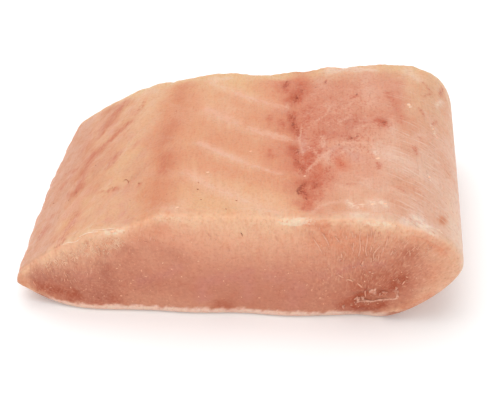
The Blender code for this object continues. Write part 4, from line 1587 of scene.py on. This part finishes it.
def build_fillet(skin):
    """The fillet itself: the skin with its fine relief, its painted colour and the nodes' masks."""
    normals = vertex_normals(skin.place, skin.faces)
    points = skin.place + normals * fine_relief(skin, normals)[:, None]
    made = new_object("fillet_flesh", points, skin.faces.tolist(), flesh_material())
    mesh = made.data
    colour = np.concatenate([paint(skin, normals), np.ones((len(points), 1))], 1)
    painted = mesh.color_attributes.new("flesh", "FLOAT_COLOR", "POINT")
    painted.data.foreach_set("color", colour.astype(np.float32).ravel())

    x, y, z = skin.place.T
    facing_cut = np.where(skin.on_cut, 1, ease(0.55, 0.9, np.abs(normals[:, 1])))
    upper = (1 - facing_cut) * ease(-0.2, 0.2, normals[:, 2])
    near_crest = 0.8 * fade(skin.inset, 1.5 + 2.4 * crest_depth(x))
    fanned = ease(18, 30, x) * ease(10, 16, z)
    beyond_seam = ease(-1, 3, x - seam_x(skin.along)) * (1 - ease(37, 50, x))
    netted = beyond_seam * ease(-24, -8, y) * (1 - 0.5 * ease(14, 34, y))
    flecks = (1 - facing_cut) * on_lines(x, y, WHITE_FLECK_SHEEN_LINES)
    behind = np.where(skin.on_cut, -skin.inset, y - cut_y(x, z, 0))
    crest = bump(behind, 0.2, 0.38 + 0.2 * bump(x, 17.5, 5)) * ease(UPPER_RIM_Z, UPPER_RIM_Z + 4, z)
    under_crest = ease(-50, -47, x) * ease(-30, -33, x) * fade(skin.inset, crest_depth(x), 4)
    for name, values in (
        ("cut", facing_cut),
        ("hairy", facing_cut * np.maximum(near_crest, fanned)),
        ("streaked", upper * on_lines(x, y, FLAP_STREAKS, 1.2)),
        ("sheet", upper * on_lines(x, y, SHEET_LINES)),
        ("bloody", upper * on_lines(x, y, BLOOD_LINES + BACK_RED_LINES)),
        ("deep", upper * on_lines(x, y, BLOOD_DARK_LINES)),
        ("cracked", upper * on_lines(x, y, CRACKS)),
        ("wispy", upper * on_lines(x, y, WISP_LINES)),
        ("netted", upper * netted),
        # White flecks with a painted sheen, and the crest's white edge with a painted highlight
        ("white", np.maximum(flecks, 1.2 * crest * crest_white_highlight(x))),
        ("calm", skin.on_cut * np.maximum(under_crest, 0.75 * bump(x, -2, 24))),
        ("lined", upper * ease(40, 50, x) * (1 - 0.6 * ease(0, 14, y))),
    ):
        add_values(mesh, name, values)
    cut_grain = np.stack([*fibre_coordinates(x, z), y * 0], 1)
    add_values(mesh, "cut_grain", cut_grain, "FLOAT_VECTOR", "vector")
    return made


class Pile:
    """Many small closed shapes that become one mesh."""

    def __init__(self):
        self.points, self.faces = [], []

    def add(self, rings, first, last):
        """Joins rings of points into a tube, closed at both ends by a point."""
        count, start = len(rings[0]), len(self.points)
        self.points += [first] + [point for ring in rings for point in ring] + [last]
        end = len(self.points) - 1
        top = end - count
        for i in range(count):
            after = (i + 1) % count
            self.faces.append((start, start + 1 + after, start + 1 + i))
            for low in range(start + 1, top, count):
                high = low + count
                self.faces.append((low + i, low + after, high + after, high + i))
            self.faces.append((top + i, top + after, end))

    def thread(self, line, radius, sides=6):
        """A round thread along a line in space, thinner towards both ends."""
        line = smooth_line(line)
        heading = np.gradient(line, axis=0)
        heading /= np.linalg.norm(heading, axis=1)[:, None]
        aside = np.cross(heading, (0.31, 0.87, 0.38))
        aside /= np.linalg.norm(aside, axis=1)[:, None]
        other = np.cross(heading, aside)
        turn = 2 * np.pi * np.arange(sides) / sides
        share = np.linspace(0, 1, len(line))
        thick = radius * (0.35 + 0.65 * np.sin(np.pi * share) ** 0.5)
        rings = [
            p + r * (np.cos(turn)[:, None] * a + np.sin(turn)[:, None] * b)
            for p, r, a, b in zip(line[1:-1], thick[1:-1], aside[1:-1], other[1:-1])
        ]
        self.add(rings, line[0], line[-1])

    def lump(self, centre, right, up, out, sides=10, levels=5):
        """A rounded lump from its centre and its three half sizes, as vectors."""
        right, up, out = np.array([right, up, out], float)
        turn = 2 * np.pi * np.arange(sides) / sides
        rings = []
        for level in range(1, levels):
            lean = np.pi * level / levels
            ring = np.cos(turn)[:, None] * right + np.sin(turn)[:, None] * out
            rings.append(centre - np.cos(lean) * up + np.sin(lean) * ring)
        self.add(rings, centre - up, centre + up)

    def build(self, name, material):
        """Makes the piece."""
        made = new_object(name, self.points, self.faces, material)
        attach(made, "root")


def smooth_line(points, steps=4):
    """A smooth curve through the points, with this many steps from each to the next."""
    points = np.array(points, float)
    ends = np.concatenate([2 * points[:1] - points[1:2], points, 2 * points[-1:] - points[-2:-1]])
    line = []
    for before, start, end, after in zip(ends, ends[1:], ends[2:], ends[3:]):
        for t in np.arange(steps) / steps:
            curve = (end - before) * t + (2 * before - 5 * start + 4 * end - after) * t**2
            line.append(start + 0.5 * (curve + (3 * start - before - 3 * end + after) * t**3))
    return np.array(line + [points[-1]])


def on_front(x, z, out=0):
    """A point on the front cut, or this far out of it."""
    return np.array([x, cut_y(x, z, 0) - out, z])


def on_top(x, y, out=0):
    """A point on the upper surface, or this far above it."""
    along = (y + LENGTH / 2) / LENGTH
    for _ in range(3):
        z = top_height(x, along)
        front, rear = cut_y(x, z, 0), cut_y(x, z, 1)
        along = (y - front) / (rear - front)
    return np.array([x, y, z + out])


def on_crest(x, behind):
    """A point on the front's rounded crest, this far behind the cut."""
    return on_top(x, cut_y(x, top_height(x, 0), 0) + behind)


def inside_front(x, z, margin=0.8):
    """Whether a point lies on the front cut, clear of its outline."""
    return under_height(x, 0) + margin < z < top_height(x, 0) - margin


def hanging(x, z, lean, length, sway, turn, shares):
    """Points (x, z) down a thread that leans and sways."""
    return [(x + lean * length * t + sway * np.sin(turn * t), z - length * t) for t in shares]


def build_threads():
    """Pale threads on the front cut: those that the eye follows, and many fine ones near the crest."""
    draw = np.random.default_rng(5)
    pile = Pile()
    for line in THREADS:
        pile.thread([on_front(x, z, 0.05) for x, z in line], 0.22)
    for low, high, count in FINE_THREADS:
        for _ in range(count):
            x = draw.uniform(low, high)
            z = top_height(x, 0) - draw.uniform(0.8, 2.6 + 2.4 * crest_depth(x))
            lean = 0.1 if x < FAN_X else -(x - FAN_X) / (z - FAN_Z)
            lean += draw.normal(0, 0.2)
            length, radius = draw.uniform(0.5, 2.2), draw.uniform(0.07, 0.13)
            line = hanging(x, z, lean, length, draw.normal(0, 0.12), 5, (0, 0.33, 0.67, 1))
            if all(inside_front(*point) for point in line):
                pile.thread([on_front(*point, 0.02) for point in line], radius, 5)
    pile.build("flesh_threads", shred_material("pale_threads", THREAD, THREAD_DEEP))


def build_crest():
    """Pale threads along the left part of the front crest, and the curly ones that hang from it."""
    draw = np.random.default_rng(6)
    pile = Pile()
    for behind, start, end in CREST_THREADS:
        line = [on_crest(x, behind + draw.normal(0, 0.1)) for x in np.arange(start, end, 2.4)]
        pile.thread(line, 0.13)
    pile.build("crest_line", shred_material("crest_line", CREST_THREAD, CUT_HAIR))
    curls = Pile()
    for _ in range(CURLS):
        x = draw.uniform(-55, -31)
        z = top_height(x, 0) - 0.7 - draw.uniform(0, 1.1) * crest_depth(x)
        length, lean, sway = draw.uniform(0.6, 2.2), draw.normal(0.2, 0.4), draw.normal(0, 0.3)
        line = hanging(x, z, lean, length, sway, 6, (0, 0.2, 0.4, 0.6, 0.8, 1))
        if all(inside_front(*point, 0.5) for point in line):
            curls.thread([on_front(*point) for point in line], draw.uniform(0.08, 0.13), 5)
    curls.build("crest_curls", shred_material("crest_curls", CREST_CURL, CREST_CURL_DEEP))


def add_lump(pile, x, z, half_x, half_z, out):
    """A lump on the front cut that stands this far out of it."""
    pile.lump(on_front(x, z), (half_x, 0, 0.1), (0.1, 0, half_z), (0, out, 0), 8)


def build_tear():
    """The ledge of torn flesh low on the front cut, and the lumps over it, each of several smaller ones."""
    draw = np.random.default_rng(8)
    pile = Pile()
    for offset in (-0.2, 0, 0.2):
        line = [(x + draw.normal(0, 0.2), z + offset + draw.normal(0, 0.12)) for x, z in LEDGE]
        pile.thread([on_front(x, z, 0.12) for x, z in line], 0.15, 7)
    for x, z in smooth_line(LEDGE, 5):
        bead = draw.uniform(0.12, 0.26, 2)
        add_lump(pile, x + draw.normal(0, 0.2), z + draw.normal(0.1, 0.3), *bead, 0.3)
    for x, z, *half in TEAR_LUMPS:
        apart = draw.normal(0, 0.36, (8, 2)) * half
        sizes = draw.uniform(0.32, 0.58, (8, 2)) * half
        for (right, up), size in zip(apart, sizes):
            add_lump(pile, x + right, z + up, *size, 0.6)
    pile.build("tear_shreds", shred_material("torn_flesh", TORN, TORN_DEEP, 1))


def build_specks():
    """Pale crumbs and dark specks that lie on the flesh. The pale crumbs on the front cut stand partly for
    bits of fat and partly for painted glints of wet.
    """
    draw = np.random.default_rng(9)
    pale = Pile()
    for x, y, size in WHITE_BITS:
        pale.lump(on_top(x, y), (size, 0.2, 0), (-0.1, size * 0.6, 0), (0, 0, 0.1))
    for low, high, count in CRUMBS_AND_GLINTS:
        for _ in range(count):
            x, z = draw.uniform(low, high), draw.uniform(4, 31)
            long, turn = draw.uniform(0.14, 0.42), draw.uniform(0, np.pi)
            right = long * np.array([np.cos(turn), 0, np.sin(turn)])
            up = draw.uniform(0.1, 0.2) * np.array([-np.sin(turn), 0, np.cos(turn)])
            if inside_front(x, z, 2):
                pale.lump(on_front(x, z), right, up, (0, 0.1, 0), 8, 4)
    pale.build("pale_crumbs_and_glints", shred_material("pale_crumbs_and_glints", CRUMB_GLINT, CRUMB_GLINT_DEEP))
    dark = Pile()
    for x, y, size in DARK_SPECKS:
        dark.lump(on_top(x, y), (size, -0.4 * size, 0), (0.2 * size, 0.7 * size, 0), (0, 0, 0.2 * size))
    dark.thread([on_top(x, y, 0.03) for x, y in DARK_HAIR], 0.13)
    dark.thread([on_front(x, z, 0.03) for x, z in FRONT_HAIR], 0.11)
    dark.build("dark_specks", shred_material("dark_specks", SPECK, SPECK_DEEP))


def add_aimed(name, data, place, heading):
    """A lamp or a camera at a place, looking along a heading."""
    made = bpy.data.objects.new(name, data)
    made.location = place
    made.rotation_euler = heading.to_track_quat("-Z", "Y").to_euler()
    bpy.context.scene.collection.objects.link(made)
    return made


def add_lamp():
    """One large soft lamp above."""
    lamp = bpy.data.lights.new("overhead", "AREA")
    lamp.size = LAMP_SIZE
    lamp.energy = LAMP_WATTS
    add_aimed("overhead", lamp, LAMP_PLACE, Vector(LAMP_AIM) - Vector(LAMP_PLACE))


def add_camera():
    """The camera, where the photo's stood."""
    azimuth, elevation = np.radians([CAMERA_AZIMUTH, CAMERA_ELEVATION])
    level = np.cos(elevation)
    back = Vector((np.sin(azimuth) * level, -np.cos(azimuth) * level, np.sin(elevation)))
    camera = bpy.data.cameras.new("camera")
    camera.lens = CAMERA_LENS
    camera.sensor_width = SENSOR_WIDTH
    place = Vector(CAMERA_AIM) + back * CAMERA_DISTANCE
    bpy.context.scene.camera = add_aimed("camera", camera, place, -back)


def build_studio():
    """A pale floor, an even white surround, the lamp and the camera."""
    corners = np.array([[-1, -1, 0], [1, -1, 0], [1, 1, 0], [-1, 1, 0]]) * FLOOR_HALF
    floor = new_object("floor", corners + own_origin, [(0, 1, 2, 3)], floor_material())
    world = bpy.data.worlds.new("surround")
    world.use_nodes = True
    background = world.node_tree.nodes["Background"]
    background.inputs["Color"].default_value = (1, 1, 1, 1)
    background.inputs["Strength"].default_value = SURROUND
    bpy.context.scene.world = world
    bpy.context.scene.view_settings.view_transform = "Standard"
    add_lamp()
    add_camera()


skin = build_skin()
# Where the row frame's origin lies in the sections' own frame: the middle of the footprint, at the base
own_origin = np.append((skin.place.min(0)[:2] + skin.place.max(0)[:2]) / 2, 0)

fillet = build_fillet(skin)
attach(fillet, "root")
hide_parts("fillet")
build_threads()
build_crest()
build_tear()
build_specks()
build_studio()
